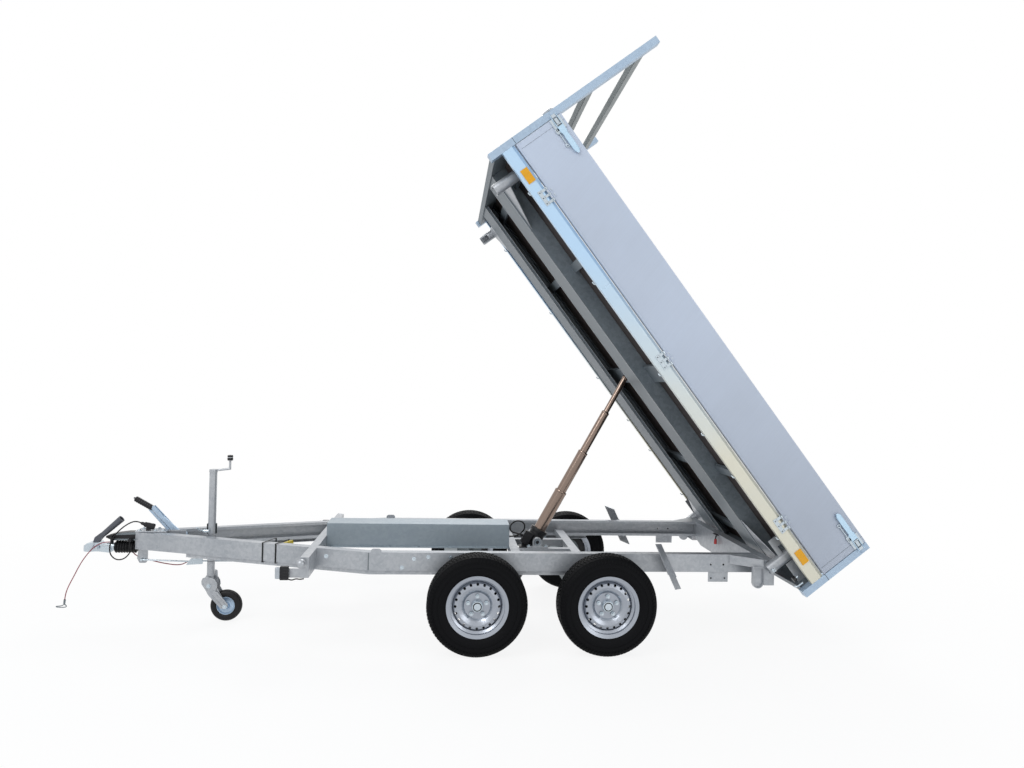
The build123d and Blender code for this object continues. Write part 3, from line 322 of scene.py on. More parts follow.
class EffectLibrary:
    """Shader node groups that several finishes share."""

    def __init__(self) -> None:
        """Start with no group built."""
        self.groups: dict[Pattern, bpy.types.NodeTree] = {}
        self.dust_group: bpy.types.NodeTree | None = None

    def surface(self, pattern: Pattern) -> bpy.types.NodeTree:
        """The group that draws one pattern.

        Args:
            pattern: which surface.

        Returns:
            A group that puts out Color, Roughness and Height.
        """
        if pattern in self.groups:
            return self.groups[pattern]
        tree = new_tree(f"surface_{pattern.value}", "ShaderNodeTree", {
            "Place": (VECTOR, (0, 0, 0)), "Base": (COLOUR, GREY), "Second": (COLOUR, (0.4, 0.4, 0.4, 1)),
            "Contrast": (NUMBER, 0.5), "Rough": (NUMBER, 0.4), "Spread": (NUMBER, 0.1),
        }, {"Color": COLOUR, "Roughness": NUMBER, "Height": NUMBER})
        wiring = Wiring(tree)
        entry, out = tree.nodes["In"].outputs, tree.nodes["Out"].inputs
        mask, height = getattr(self, f"draw_{pattern.value}")(wiring, entry["Place"])
        share = wiring.maths("MULTIPLY", mask, entry["Contrast"])
        wiring.link(wiring.mix(share, entry["Base"], entry["Second"]), out["Color"])
        change = wiring.maths("MULTIPLY", wiring.maths("SUBTRACT", mask, 0.5), entry["Spread"])
        wiring.link(wiring.maths("ADD", entry["Rough"], change), out["Roughness"])
        wiring.link(height, out["Height"])
        self.groups[pattern] = tree
        return tree

    @staticmethod
    def draw_spangle(wiring: Wiring, place: bpy.types.NodeSocket) -> tuple[bpy.types.NodeSocket, ...]:
        """Zinc crystals of two sizes under a soft cloud.

        Args:
            wiring: the group being filled.
            place: the group's place.

        Returns:
            The mask from 0 to 1, and the height that feeds the bump.
        """
        large, small = wiring.cells(place, 55.0), wiring.cells(place, 140.0)
        cloud = wiring.spread(wiring.noise(place, 3.0, 4.0), 0.35, 0.68)
        return wiring.weigh((large, 0.45), (small, 0.2), (cloud, 0.45)), wiring.noise(place, 90.0, 2.0)

    @staticmethod
    def draw_rolled_with_light(wiring: Wiring, place: bpy.types.NodeSocket) -> tuple[bpy.types.NodeSocket, ...]:
        """Fine lines along the sheet over a faint cloud, with painted light: pale blue high up, darker
        towards the bed's rear.

        Args:
            wiring: the group being filled.
            place: the group's place.

        Returns:
            The mask from 0 to 1, and the height that feeds the bump.
        """
        lines = wiring.noise(wiring.mapping(place, (3.0, 260.0, 260.0), (0.0, TIP, 0.0)), 1.0, 2.0)
        cloud = wiring.spread(wiring.noise(place, 1.6, 3.0), 0.3, 0.7)
        # painted light: the sheet darker the lower it hangs on the raised bed
        fall = wiring.spread(wiring.height(place), *BOARD_LIGHT_HEIGHTS)
        return wiring.weigh((lines, 0.22), (cloud, 0.20), (fall, 0.62)), lines

    @staticmethod
    def draw_grain(wiring: Wiring, place: bpy.types.NodeSocket) -> tuple[bpy.types.NodeSocket, ...]:
        """Moulded or painted grain with faint smears.

        Args:
            wiring: the group being filled.
            place: the group's place.

        Returns:
            The mask from 0 to 1, and the height that feeds the bump.
        """
        grain = wiring.noise(place, 420.0, 2.0)
        smear = wiring.spread(wiring.noise(place, 9.0, 5.0), 0.35, 0.7)
        return wiring.weigh((grain, 0.4), (smear, 0.6)), grain

    @staticmethod
    def draw_ply(wiring: Wiring, place: bpy.types.NodeSocket) -> tuple[bpy.types.NodeSocket, ...]:
        """Film-faced ply with a fine mesh print and long streaks.

        Args:
            wiring: the group being filled.
            place: the group's place.

        Returns:
            The mask from 0 to 1, and the height that feeds the bump.
        """
        streaks = wiring.noise(wiring.mapping(place, (4.0, 60.0, 60.0), (0.0, TIP, 0.0)), 1.0, 5.0)
        mesh = wiring.cells(place, 260.0)
        return wiring.weigh((streaks, 0.7), (mesh, 0.3)), mesh

    @staticmethod
    def draw_prism(wiring: Wiring, place: bpy.types.NodeSocket) -> tuple[bpy.types.NodeSocket, ...]:
        """Small moulded prisms inside a lens.

        Args:
            wiring: the group being filled.
            place: the group's place.

        Returns:
            The mask from 0 to 1, and the height that feeds the bump.
        """
        cells = wiring.cells(place, 300.0)
        bands = wiring.noise(wiring.mapping(place, (6.0, 6.0, 90.0), (0.0, 0.0, 0.0)), 1.0, 1.0)
        return wiring.weigh((cells, 0.5), (bands, 0.5)), cells

    @staticmethod
    def draw_reflection_gradient(wiring: Wiring, place: bpy.types.NodeSocket) -> tuple[bpy.types.NodeSocket, ...]:
        """A painted reflection that changes down the raised bed, cool blue in front and warm behind.

        Args:
            wiring: the group being filled.
            place: the group's place.

        Returns:
            The mask from 0 to 1, and the height that feeds the bump.
        """
        fall = wiring.spread(wiring.height(place), *RAIL_REFLECTION_HEIGHTS)
        cloud = wiring.maths("SUBTRACT", wiring.noise(place, 5.0, 4.0), 0.5)
        mask = wiring.maths("ADD", fall, wiring.maths("MULTIPLY", cloud, 0.25))
        clipped = wiring.maths("MINIMUM", wiring.maths("MAXIMUM", mask, 0.0), 1.0)
        return clipped, wiring.noise(place, 90.0, 2.0)

    def dust(self) -> bpy.types.NodeTree:
        """The group that lays road dust on what is low down.

        Returns:
            A group that puts out Color.
        """
        if self.dust_group is None:
            tree = new_tree("road_dust", "ShaderNodeTree", {
                "Place": (VECTOR, (0, 0, 0)), "Base": (COLOUR, GREY), "Dust": (COLOUR, ROAD_DUST),
                "Amount": (NUMBER, 0.1), "Top": (NUMBER, 0.1),
            }, {"Color": COLOUR})
            wiring, entry = Wiring(tree), tree.nodes["In"].outputs
            low = wiring.maths("SUBTRACT", entry["Top"], wiring.height(entry["Place"]))
            cloud = wiring.spread(wiring.noise(entry["Place"], 14.0, 6.0), 0.4, 0.75)
            lying = wiring.maths("MULTIPLY", wiring.spread(low, 0.0, DUST_DEPTH), cloud)
            share = wiring.maths("MULTIPLY", lying, entry["Amount"])
            wiring.link(wiring.mix(share, entry["Base"], entry["Dust"]), tree.nodes["Out"].inputs["Color"])
            self.dust_group = tree
        return self.dust_group


def shown_rays(wiring: Wiring) -> bpy.types.NodeSocket:
    """1 for the rays that show a backdrop, straight, mirrored or through glass.

    Args:
        wiring: the tree that needs the value.

    Returns:
        The value's socket.
    """
    rays = wiring.tree.nodes.new("ShaderNodeLightPath")
    seen = wiring.maths("MAXIMUM", rays.outputs["Is Camera Ray"], rays.outputs["Is Transmission Ray"])
    return wiring.maths("MAXIMUM", seen, rays.outputs["Is Glossy Ray"])


EFFECTS = EffectLibrary()
MADE_MATERIALS: dict[str, bpy.types.Material] = {}


@dataclass(frozen=True)
class Finish:
    """One surface finish."""

    label: str
    slot: str
    base: Point
    second: Point
    pattern: Pattern = Pattern.GRAIN
    contrast: float = 0.5
    metallic: float = 0.0
    roughness: float = 0.4
    spread: float = 0.1
    bump: float = 0.1
    bump_depth: float = 0.0004
    coat: float = 0.0
    specular: float = 0.5
    dust: float = 0.0

    def material(self) -> bpy.types.Material:
        """The finish's material, built on first use.

        Returns:
            The Blender material.
        """
        if self.label in MADE_MATERIALS:
            return MADE_MATERIALS[self.label]
        made = bpy.data.materials.new(self.label)
        made.use_nodes = True
        tree = made.node_tree
        wiring = Wiring(tree)
        place = tree.nodes.new("ShaderNodeTexCoord").outputs["Object"]
        surface = self.group(wiring, EFFECTS.surface(self.pattern), {
            "Place": place, "Base": (*self.base, 1), "Second": (*self.second, 1), "Contrast": self.contrast,
            "Rough": self.roughness, "Spread": self.spread})
        colour = surface["Color"]
        if self.dust:
            dusty = self.group(wiring, EFFECTS.dust(), {"Place": place, "Base": colour, "Amount": self.dust})
            colour = dusty["Color"]
        bump = wiring.node("ShaderNodeBump", {
            "Strength": self.bump, "Distance": self.bump_depth, "Height": surface["Height"]})
        inputs = {"Base Color": colour, "Roughness": surface["Roughness"], "Normal": bump.outputs["Normal"],
                  "Metallic": self.metallic, "Coat Weight": self.coat, "Specular IOR Level": self.specular}
        for name, value in inputs.items():
            wiring.feed(tree.nodes["Principled BSDF"].inputs[name], value)
        MADE_MATERIALS[self.label] = made
        return made

    @staticmethod
    def group(wiring: Wiring, effect: bpy.types.NodeTree,
              inputs: dict[str, object]) -> bpy.types.bpy_prop_collection:
        """Place a shared effect in the material.

        Args:
            wiring: the material's tree.
            effect: the node group.
            inputs: input name to socket or value.

        Returns:
            The effect's outputs, by name.
        """
        placed = wiring.tree.nodes.new("ShaderNodeGroup")
        placed.node_tree = effect
        for name, value in inputs.items():
            wiring.feed(placed.inputs[name], value)
        return placed.outputs


GALVANISED = Finish("hot_dip_zinc", "galvanised", (0.49, 0.505, 0.525), (0.28, 0.305, 0.335), Pattern.SPANGLE,
                    0.7, 0.5, 0.36, 0.16, 0.06, 0.0003, dust=0.10)
# post zinc: its pale blue cast is painted reflection of the sky
POST_ZINC = Finish("zinc_post_painted_reflection", "galvanised", (0.45, 0.57, 0.70), (0.31, 0.40, 0.51), Pattern.SPANGLE,
                   0.6, 0.4, 0.36, 0.12, 0.02, 0.0002)
RACK_ZINC = Finish("rack_zinc", "galvanised", (0.25, 0.28, 0.28), (0.15, 0.175, 0.18), Pattern.SPANGLE,
                   0.6, 0.4, 0.42, 0.12, 0.02, 0.0002)
# rail zinc: its pale blue turning warm cream down the bed is painted reflection
RAIL_ZINC = Finish("zinc_rail_painted_reflection", "galvanised", (0.50, 0.69, 0.88), (0.68, 0.66, 0.55),
                   Pattern.REFLECTION_GRADIENT, 1.0, 0.4, 0.30, 0.08, 0.03, 0.0002)
PUMP_SHEET = Finish("bright_zinc_sheet", "galvanised", (0.35, 0.405, 0.44), (0.21, 0.26, 0.31),
                    Pattern.SPANGLE, 0.6, 0.5, 0.40, 0.12, 0.05, 0.0003)
# a darker copy of the hot-dip zinc: painted shade on parts under the trailer such as the axles; on weld beads
# and plank seams it is their own dull tone
UNDER_ZINC = Finish("dull_zinc_and_painted_shade", "galvanised", (0.22, 0.25, 0.26), (0.13, 0.155, 0.17), Pattern.SPANGLE,
                    0.7, 0.4, 0.46, 0.14, 0.1, 0.0003)
# a darker copy of the hot-dip zinc: painted shade on the bed's underside members
MEMBER_ZINC = Finish("zinc_member_painted_shade", "galvanised", (0.125, 0.150, 0.170), (0.26, 0.295, 0.32), Pattern.SPANGLE,
                     0.55, 0.35, 0.44, 0.14, 0.08, 0.0003)
# aluminium sheet: pale blue high up is painted reflection of the sky, darker grey low down is painted shade;
# the fine lines are its own
SHEET = Finish("rolled_aluminium", "sheet", (0.53, 0.60, 0.72), (0.33, 0.355, 0.40), Pattern.ROLLED_WITH_LIGHT,
               0.8, 0.3, 0.50, 0.06, 0.06, 0.0001)
ZINC_PLATE = Finish("zinc_plate", "zinc", (0.60, 0.67, 0.72), (0.40, 0.46, 0.51), Pattern.GRAIN,
                    0.5, 0.7, 0.26, 0.12, 0.05, 0.0002)
# latch zinc: its bright blue-white is painted reflection of the sky
LATCH_ZINC = Finish("zinc_latch_painted_reflection", "zinc", (0.56, 0.76, 0.92), (0.46, 0.62, 0.76), Pattern.GRAIN,
                    0.5, 0.5, 0.26, 0.12, 0.05, 0.0002)
# darker zinc: weathered plate on the hook, edges and rivets; on the latch recesses it is painted shade
DARK_ZINC = Finish("weathered_zinc_and_painted_shade", "zinc", (0.20, 0.23, 0.25), (0.12, 0.14, 0.15), Pattern.GRAIN,
                   0.5, 0.5, 0.34, 0.12, 0.05, 0.0002)
RUBBER = Finish("tyre_rubber", "tyre", (0.0035, 0.0037, 0.0045), (0.006, 0.0062, 0.007), Pattern.GRAIN,
                0.6, 0.0, 0.60, 0.16, 0.15, 0.0003, specular=0.08)
RIM_SILVER = Finish("silver_lacquer", "rim", (0.37, 0.40, 0.45), (0.29, 0.315, 0.36), Pattern.GRAIN,
                    0.4, 0.80, 0.31, 0.06, 0.02, 0.0002, coat=0.15, dust=0.04)
STAGE_CHROME = Finish("brown_chrome", "stage", (0.27, 0.205, 0.17), (0.20, 0.15, 0.125), Pattern.GRAIN,
                      0.4, 0.92, 0.20, 0.06, 0.02, 0.0001)
BLACK_PAINT = Finish("satin_black", "black_paint", (0.010, 0.010, 0.012), (0.022, 0.022, 0.024),
                     Pattern.GRAIN, 0.5, 0.0, 0.36, 0.12, 0.10, 0.0002, specular=0.3)
BLACK_RUBBER = Finish("soft_rubber", "rubber", (0.008, 0.008, 0.009), (0.015, 0.015, 0.016), Pattern.GRAIN,
                      0.5, 0.0, 0.45, 0.12, 0.10, 0.0002, specular=0.25)
DARK_PLASTIC = Finish("moulded_dark", "plastic", (0.010, 0.010, 0.012), (0.020, 0.020, 0.022), Pattern.GRAIN,
                      0.5, 0.0, 0.40, 0.1, 0.10, 0.0002, specular=0.3)
GREY_PLASTIC = Finish("moulded_grey", "plastic", (0.085, 0.090, 0.105), (0.12, 0.125, 0.14), Pattern.GRAIN,
                      0.5, 0.0, 0.48, 0.1, 0.10, 0.0002, specular=0.4)
PLY = Finish("film_faced_ply", "floor", (0.046, 0.036, 0.034), (0.072, 0.058, 0.054), Pattern.PLY,
             0.7, 0.0, 0.55, 0.2, 0.15, 0.0003, specular=0.25)
AMBER = Finish("amber_prism", "amber", (0.84, 0.41, 0.012), (0.62, 0.27, 0.008), Pattern.PRISM,
               0.5, 0.0, 0.25, 0.1, 0.3, 0.0004, coat=0.3, specular=0.3)
CLEAR = Finish("clear_prism", "clear", (0.50, 0.53, 0.56), (0.30, 0.33, 0.36), Pattern.PRISM,
               0.6, 0.1, 0.14, 0.08, 0.4, 0.0005, coat=0.5)
RED_LENS = Finish("red_prism", "red", (0.50, 0.02, 0.02), (0.32, 0.01, 0.01), Pattern.PRISM,
                  0.5, 0.0, 0.18, 0.1, 0.4, 0.0005, coat=0.4)
RED_SLEEVE = Finish("red_sleeve", "red_cable", (0.30, 0.035, 0.055), (0.19, 0.035, 0.05), Pattern.GRAIN,
                    0.6, 0.1, 0.35, 0.1, 0.10, 0.0002)
YELLOW = Finish("yellow_moulding", "yellow", (0.72, 0.55, 0.03), (0.54, 0.40, 0.03), Pattern.GRAIN,
                0.5, 0.0, 0.42, 0.1, 0.10, 0.0002)


@dataclass
class Builder:
    """Gathers bars, plates and turned forms into one mesh."""

    mesh: bmesh.types.BMesh = field(default_factory=bmesh.new)

    def add(self, points: list[Vector], faces: list[tuple[int, ...]]) -> None:
        """Append points and faces.

        Args:
            points: the new points.
            faces: corners, counted among them.
        """
        made = [self.mesh.verts.new(p) for p in points]
        for face in faces:
            self.mesh.faces.new([made[i] for i in face])

    def block(self, low: Point, high: Point, place: Matrix = Matrix()) -> None:
        """A straight block between two corners.

        Args:
            low: lowest corner.
            high: highest corner.
            place: where the block goes.
        """
        points = [place @ Vector((x, y, z)) for x in (low[0], high[0]) for y in (low[1], high[1])
                  for z in (low[2], high[2])]
        self.add(points, [(0, 1, 3, 2), (4, 6, 7, 5), (0, 4, 5, 1), (2, 3, 7, 6), (0, 2, 6, 4), (1, 5, 7, 3)])

    def drawn_out(self, ends: list[list[Vector]]) -> None:
        """A form with two like end faces, whose corners are given in order.

        Args:
            ends: the corners of one end, then of the other.
        """
        count = len(ends[0])
        sides = [(i, (i + 1) % count, (i + 1) % count + count, i + count) for i in range(count)]
        self.add(ends[0] + ends[1], [tuple(reversed(range(count))), tuple(range(count, 2 * count)), *sides])

    def plate(self, outline: Outline, thick: tuple[float, float], place: Matrix = Matrix()) -> None:
        """A plate drawn in X and Z and thick along Y.

        Args:
            outline: corners in order.
            thick: its two faces along Y.
            place: where the plate goes.
        """
        self.drawn_out([[place @ Vector((x, y, z)) for x, z in outline] for y in thick])

    def bar(self, outline: Outline, along: tuple[float, float], place: Matrix = Matrix()) -> None:
        """A bar drawn in Y and Z and drawn out along X.

        Args:
            outline: corners in order.
            along: its two ends along X.
            place: where the bar goes.
        """
        self.drawn_out([[place @ Vector((x, y, z)) for y, z in outline] for x in along])

    def turn(self, profile: Outline, place: Matrix, segments: int = 48) -> None:
        """A form turned about Z.

        Args:
            profile: radius and height pairs; a radius of 0 closes an end.
            place: where the form goes.
            segments: facets around.
        """
        rings: list[list[int]] = []
        points: list[Vector] = []
        for radius, height in profile:
            if radius == 0:
                rings.append([len(points)] * segments)
                points.append(place @ Vector((0, 0, height)))
                continue
            rings.append(list(range(len(points), len(points) + segments)))
            for i in range(segments):
                angle = 2 * math.pi * i / segments
                points.append(place @ Vector((radius * math.cos(angle), radius * math.sin(angle), height)))
        faces = []
        for a, b in zip(rings, rings[1:]):
            for i in range(segments):
                j = (i + 1) % segments
                corner = list(dict.fromkeys((a[i], a[j], b[j], b[i])))
                if len(corner) > 2:
                    faces.append(tuple(corner))
        self.add(points, faces)

    def rod(self, start: Vector, end: Vector, radius: float, tip: float | None = None,
            segments: int = 20) -> None:
        """A round bar with slightly broken ends.

        Args:
            start: one end's centre.
            end: the other's.
            radius: radius at the start.
            tip: radius at the end, or None for the same.
            segments: facets around.
        """
        way = end - start
        length = way.length
        tip = radius if tip is None else tip
        edge = min(radius * 0.15, length * 0.2)
        profile = [(0, 0), (radius - edge, 0), (radius, edge),
                   (tip, length - edge), (tip - edge, length), (0, length)]
        self.turn(profile, facing(start, way), segments)

    def pipe(self, points: list[Vector], radius: float, cyclic: bool = False) -> None:
        """A bent round bar that follows smooth control points.

        Args:
            points: the control points.
            radius: the bar's radius.
            cyclic: whether it closes on itself.
        """
        line = smooth_line("bar", points, radius, cyclic)
        baked = bpy.data.meshes.new_from_object(line.evaluated_get(bpy.context.evaluated_depsgraph_get()))
        self.mesh.from_mesh(baked)
        bpy.data.meshes.remove(baked)
        bpy.data.objects.remove(line)

    def close(self, name: str) -> bpy.types.Mesh:
        """Turn the faces outward and hand over the mesh.

        Args:
            name: the mesh's name.

        Returns:
            The mesh.
        """
        bmesh.ops.recalc_face_normals(self.mesh, faces=self.mesh.faces)
        data = bpy.data.meshes.new(name)
        self.mesh.to_mesh(data)
        self.mesh.free()
        return data

    def piece(self, name: str, finish: Finish, body: str, edge: float = 0.0) -> bpy.types.Object:
        """Close the mesh and hand over the finished piece.

        Args:
            name: the piece's name.
            finish: its finish.
            body: the body it rides on.
            edge: width of its rounded edges.

        Returns:
            The new object.
        """
        made = add_object(name, self.close(name))
        if edge:
            round_edges(made, edge)
        return settle(made, finish, body)


def smooth_line(name: str, points: list[Vector], radius: float, cyclic: bool = False) -> bpy.types.Object:
    """A round NURBS curve.

    Args:
        name: the object's name.
        points: control points.
        radius: the curve's thickness.
        cyclic: whether it closes.

    Returns:
        The curve object.
    """
    data = bpy.data.curves.new(name, "CURVE")
    data.dimensions = "3D"
    data.bevel_depth = radius
    data.bevel_resolution = 3
    data.resolution_u = 8
    data.use_fill_caps = True
    spline = data.splines.new("NURBS")
    spline.points.add(len(points) - 1)
    for knot, point in zip(spline.points, points):
        knot.co = (*point, 1)
    spline.order_u = 3
    spline.use_endpoint_u = not cyclic
    spline.use_cyclic_u = cyclic
    made = add_object(name, data)
    bpy.context.view_layer.update()
    return made


def bake(piece: bpy.types.Object) -> None:
    """Turn a piece's modifiers into its mesh.

    Args:
        piece: the piece, which keeps no modifier.
    """
    graph = bpy.context.evaluated_depsgraph_get()
    data = bpy.data.meshes.new_from_object(piece.evaluated_get(graph))
    piece.modifiers.clear()
    piece.data = data


SHARP = math.radians(32)       # an edge between faces past this angle is rounded
CREASE = math.radians(38)      # an edge past this angle looks sharp
FLAT = math.radians(0.6)       # faces within this angle become one
MERGE = 1e-5                   # points closer than this become one


def round_edges(piece: bpy.types.Object, width: float) -> None:
    """Round the sharp edges of a piece.

    Args:
        piece: the piece to round.
        width: how wide the rounding is.
    """
    piece.data.shade_smooth()
    rounding = piece.modifiers.new("rounding", "BEVEL")
    rounding.width = width
    rounding.segments = 2
    rounding.limit_method = "ANGLE"
    rounding.angle_limit = SHARP
    flat = piece.modifiers.new("flat_faces", "WEIGHTED_NORMAL")
    flat.mode = "FACE_AREA"
    flat.weight = 100
    bpy.context.view_layer.update()
    bake(piece)


def settle(piece: bpy.types.Object, finish: Finish, body: str) -> bpy.types.Object:
    """Shade a piece, give it its finish and set it on its body.

    Args:
        piece: the object.
        finish: its finish.
        body: the body it rides on.

    Returns:
        The same object.
    """
    if piece.type == "MESH" and not piece.data.has_custom_normals:
        piece.data.shade_smooth()
        piece.data.set_sharp_from_angle(angle=CREASE)
    piece.data.materials.clear()
    piece.data.materials.append(finish.material())
    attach(piece, body)
    log.info("%s on %s", piece.name, body)
    return piece


def body_of_node(node: str) -> str:
    """The body that carries a solid of the frame."""
    return frame["nodes"][node]["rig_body"]


def soften(node: str, finish: Finish, width: float,
           cut: tuple[Point, Point] | None = None) -> bpy.types.Object:
    """A copy of a solid with rounded edges, which stands for it.

    Args:
        node: the solid's name.
        finish: its finish.
        width: width of the rounding.
        cut: a point on a plane and the way to the side that other pieces stand for.

    Returns:
        The new piece.
    """
    shape = bmesh.new()
    shape.from_mesh(frame["nodes"][node].data)
    if cut is not None:
        edge = bmesh.ops.bisect_plane(shape, geom=[*shape.verts, *shape.edges, *shape.faces], dist=1e-6,
                                      plane_co=cut[0], plane_no=cut[1], clear_outer=True)
        bmesh.ops.holes_fill(shape, edges=[e for e in edge["geom_cut"] if isinstance(e, bmesh.types.BMEdge)])
    bmesh.ops.remove_doubles(shape, verts=shape.verts, dist=MERGE)
    bmesh.ops.dissolve_limit(shape, angle_limit=FLAT, verts=shape.verts, edges=shape.edges)
    data = bpy.data.meshes.new(f"{node}_finished")
    shape.to_mesh(data)
    shape.free()
    piece = add_object(f"{node}_finished", data)
    round_edges(piece, width)
    settle(piece, finish, body_of_node(node))
    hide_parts(node)
    return piece


@dataclass
class GeometryKit:
    """A geometry tree that is built once and run on many small meshes."""

    tree: bpy.types.NodeTree = field(init=False)

    def __post_init__(self) -> None:
        """Build the tree."""
        self.tree = self.build_tree()

    def build_tree(self) -> bpy.types.NodeTree:
        raise NotImplementedError

    @staticmethod
    def copies(wiring: Wiring, points: bpy.types.NodeSocket, form: bpy.types.NodeSocket,
               turn: bpy.types.NodeSocket) -> bpy.types.NodeSocket:
        """A form set on each point, as real faces.

        Args:
            wiring: the tree being built.
            points: where the form goes.
            form: what is set there.
            turn: its rotation.

        Returns:
            The geometry's socket.
        """
        spots = wiring.node("GeometryNodeInstanceOnPoints", {
            "Points": points, "Instance": form, "Rotation": turn})
        return wiring.node("GeometryNodeRealizeInstances", {0: spots.outputs[0]}).outputs[0]

    @staticmethod
    def paint(wiring: Wiring, form: bpy.types.NodeSocket) -> None:
        """Give the form its finish and end the tree.

        Args:
            wiring: the tree being built.
            form: what the tree puts out.
        """
        entry, out = wiring.tree.nodes["In"].outputs, wiring.tree.nodes["Out"].inputs
        painted = wiring.node("GeometryNodeSetMaterial", {"Geometry": form, "Material": entry["Finish"]})
        wiring.link(painted.outputs[0], out[0])

    def run(self, data: bpy.types.Mesh, values: dict[str, object]) -> bpy.types.Object:
        """Run the tree on a mesh.

        Args:
            data: the mesh that it starts from, whose name the object takes.
            values: input name to value.

        Returns:
            An object with the result as a plain mesh.
        """
        piece = add_object(data.name, data)
        modifier = piece.modifiers.new("kit", "NODES")
        modifier.node_group = self.tree
        for item in self.tree.interface.items_tree:
            if item.in_out == "INPUT" and item.name in values:
                modifier[item.identifier] = values[item.name]
        bpy.context.view_layer.update()
        bake(piece)
        return piece


@dataclass
class FastenerKit(GeometryKit):
    """Bolts and rivets set in rows by a geometry tree."""

    head_taper: float = 0.86      # a head's top to its foot
    washer_share: float = 0.3     # a washer's thickness to the head's height
    washer_sides: int = 20

    def build_tree(self) -> bpy.types.NodeTree:
        """A tree that sets a head and a washer on every point, along its facing.

        Returns:
            The geometry node tree.
        """
        tree = new_tree("fasteners", "GeometryNodeTree", {
            "Geometry": (GEOMETRY, None), "Head Radius": (NUMBER, 0.008), "Head Height": (NUMBER, 0.006),
            "Washer Radius": (NUMBER, 0.012), "Sides": (WHOLE, 6), "Finish": (MATERIAL, None),
        }, {"Geometry": GEOMETRY})
        wiring, entry = Wiring(tree), tree.nodes["In"].outputs
        slim = wiring.maths("MULTIPLY", entry["Head Radius"], self.head_taper)
        head = wiring.node("GeometryNodeMeshCone", {
            "Vertices": entry["Sides"], "Radius Bottom": entry["Head Radius"], "Radius Top": slim,
            "Depth": entry["Head Height"]})
        thin = wiring.maths("MULTIPLY", entry["Head Height"], self.washer_share)
        washer = wiring.node("GeometryNodeMeshCylinder", {
            "Vertices": self.washer_sides, "Radius": entry["Washer Radius"], "Depth": thin})
        both = wiring.node("GeometryNodeJoinGeometry", {0: head.outputs["Mesh"]})
        wiring.link(washer.outputs["Mesh"], both.inputs[0])
        way = wiring.node("GeometryNodeInputNamedAttribute", {"Name": "facing"})
        way.data_type = "FLOAT_VECTOR"
        align = wiring.node("FunctionNodeAlignRotationToVector", {"Vector": way.outputs["Attribute"]})
        align.axis = "Z"
        self.paint(wiring, self.copies(wiring, entry["Geometry"], both.outputs[0], align.outputs[0]))
        return tree

    def place(self, name: str, spots: list[tuple[Vector, Vector]], body: str, finish: Finish = ZINC_PLATE,
              radius: float = 0.008, height: float = 0.006, washer: float = 0.012, sides: int = 6) -> None:
        """Set one row of fasteners.

        Args:
            name: the piece's name.
            spots: place and outward direction of each.
            body: the body they ride on.
            finish: their finish.
            radius: head radius.
            height: head height.
            washer: washer radius.
            sides: facets of the head, 6 for a bolt and more for a rivet.
        """
        data = bpy.data.meshes.new(name)
        data.from_pydata([tuple(p) for p, _ in spots], [], [])
        ways = data.attributes.new("facing", "FLOAT_VECTOR", "POINT")
        for item, (_, way) in zip(ways.data, spots):
            item.vector = way.normalized()
        piece = self.run(data, {"Head Radius": radius, "Head Height": height, "Washer Radius": washer,
                                "Sides": sides, "Finish": finish.material()})
        settle(piece, finish, body)


@dataclass
class RingKit(GeometryKit):
    """Repeats a block around a ring, for tyre treads."""

    def build_tree(self) -> bpy.types.NodeTree:
        """A tree that sets a block at even steps around Z, its X outward.

        Returns:
            The geometry node tree.
        """
        tree = new_tree("tread_ring", "GeometryNodeTree", {
            "Geometry": (GEOMETRY, None), "Count": (WHOLE, 60), "Radius": (NUMBER, 0.29),
            "Shift": (VECTOR, None), "Turn": (NUMBER, 0.0), "Finish": (MATERIAL, None),
        }, {"Geometry": GEOMETRY})
        wiring, entry = Wiring(tree), tree.nodes["In"].outputs
        ring = wiring.node("GeometryNodeMeshCircle", {"Vertices": entry["Count"], "Radius": entry["Radius"]})
        where = wiring.node("GeometryNodeInputPosition", {})
        align = wiring.node("FunctionNodeAlignRotationToVector", {"Vector": where.outputs[0]})
        align.axis = "X"
        align.pivot_axis = "Z"
        row = self.copies(wiring, ring.outputs[0], entry["Geometry"], align.outputs[0])
        turn = wiring.node("ShaderNodeCombineXYZ", {"Z": entry["Turn"]})
        move = wiring.node("GeometryNodeTransform", {
            "Geometry": row, "Translation": entry["Shift"], "Rotation": turn.outputs[0]})
        self.paint(wiring, move.outputs[0])
        return tree

    def ring(self, block: Builder, count: int, radius: float, shift: float, turn: float) -> bpy.types.Mesh:
        """One row of blocks around a wheel.

        Args:
            block: the block, its X outward and its root at the origin.
            count: how many.
            radius: of the row's root.
            shift: along the wheel's axle.
            turn: angle of the first block.

        Returns:
            The row's mesh, about Z.
        """
        row = self.run(block.close("row"), {"Count": count, "Radius": radius, "Shift": (0.0, 0.0, shift),
                                            "Turn": turn, "Finish": RUBBER.material()})
        made = row.data
        bpy.data.objects.remove(row)
        return made


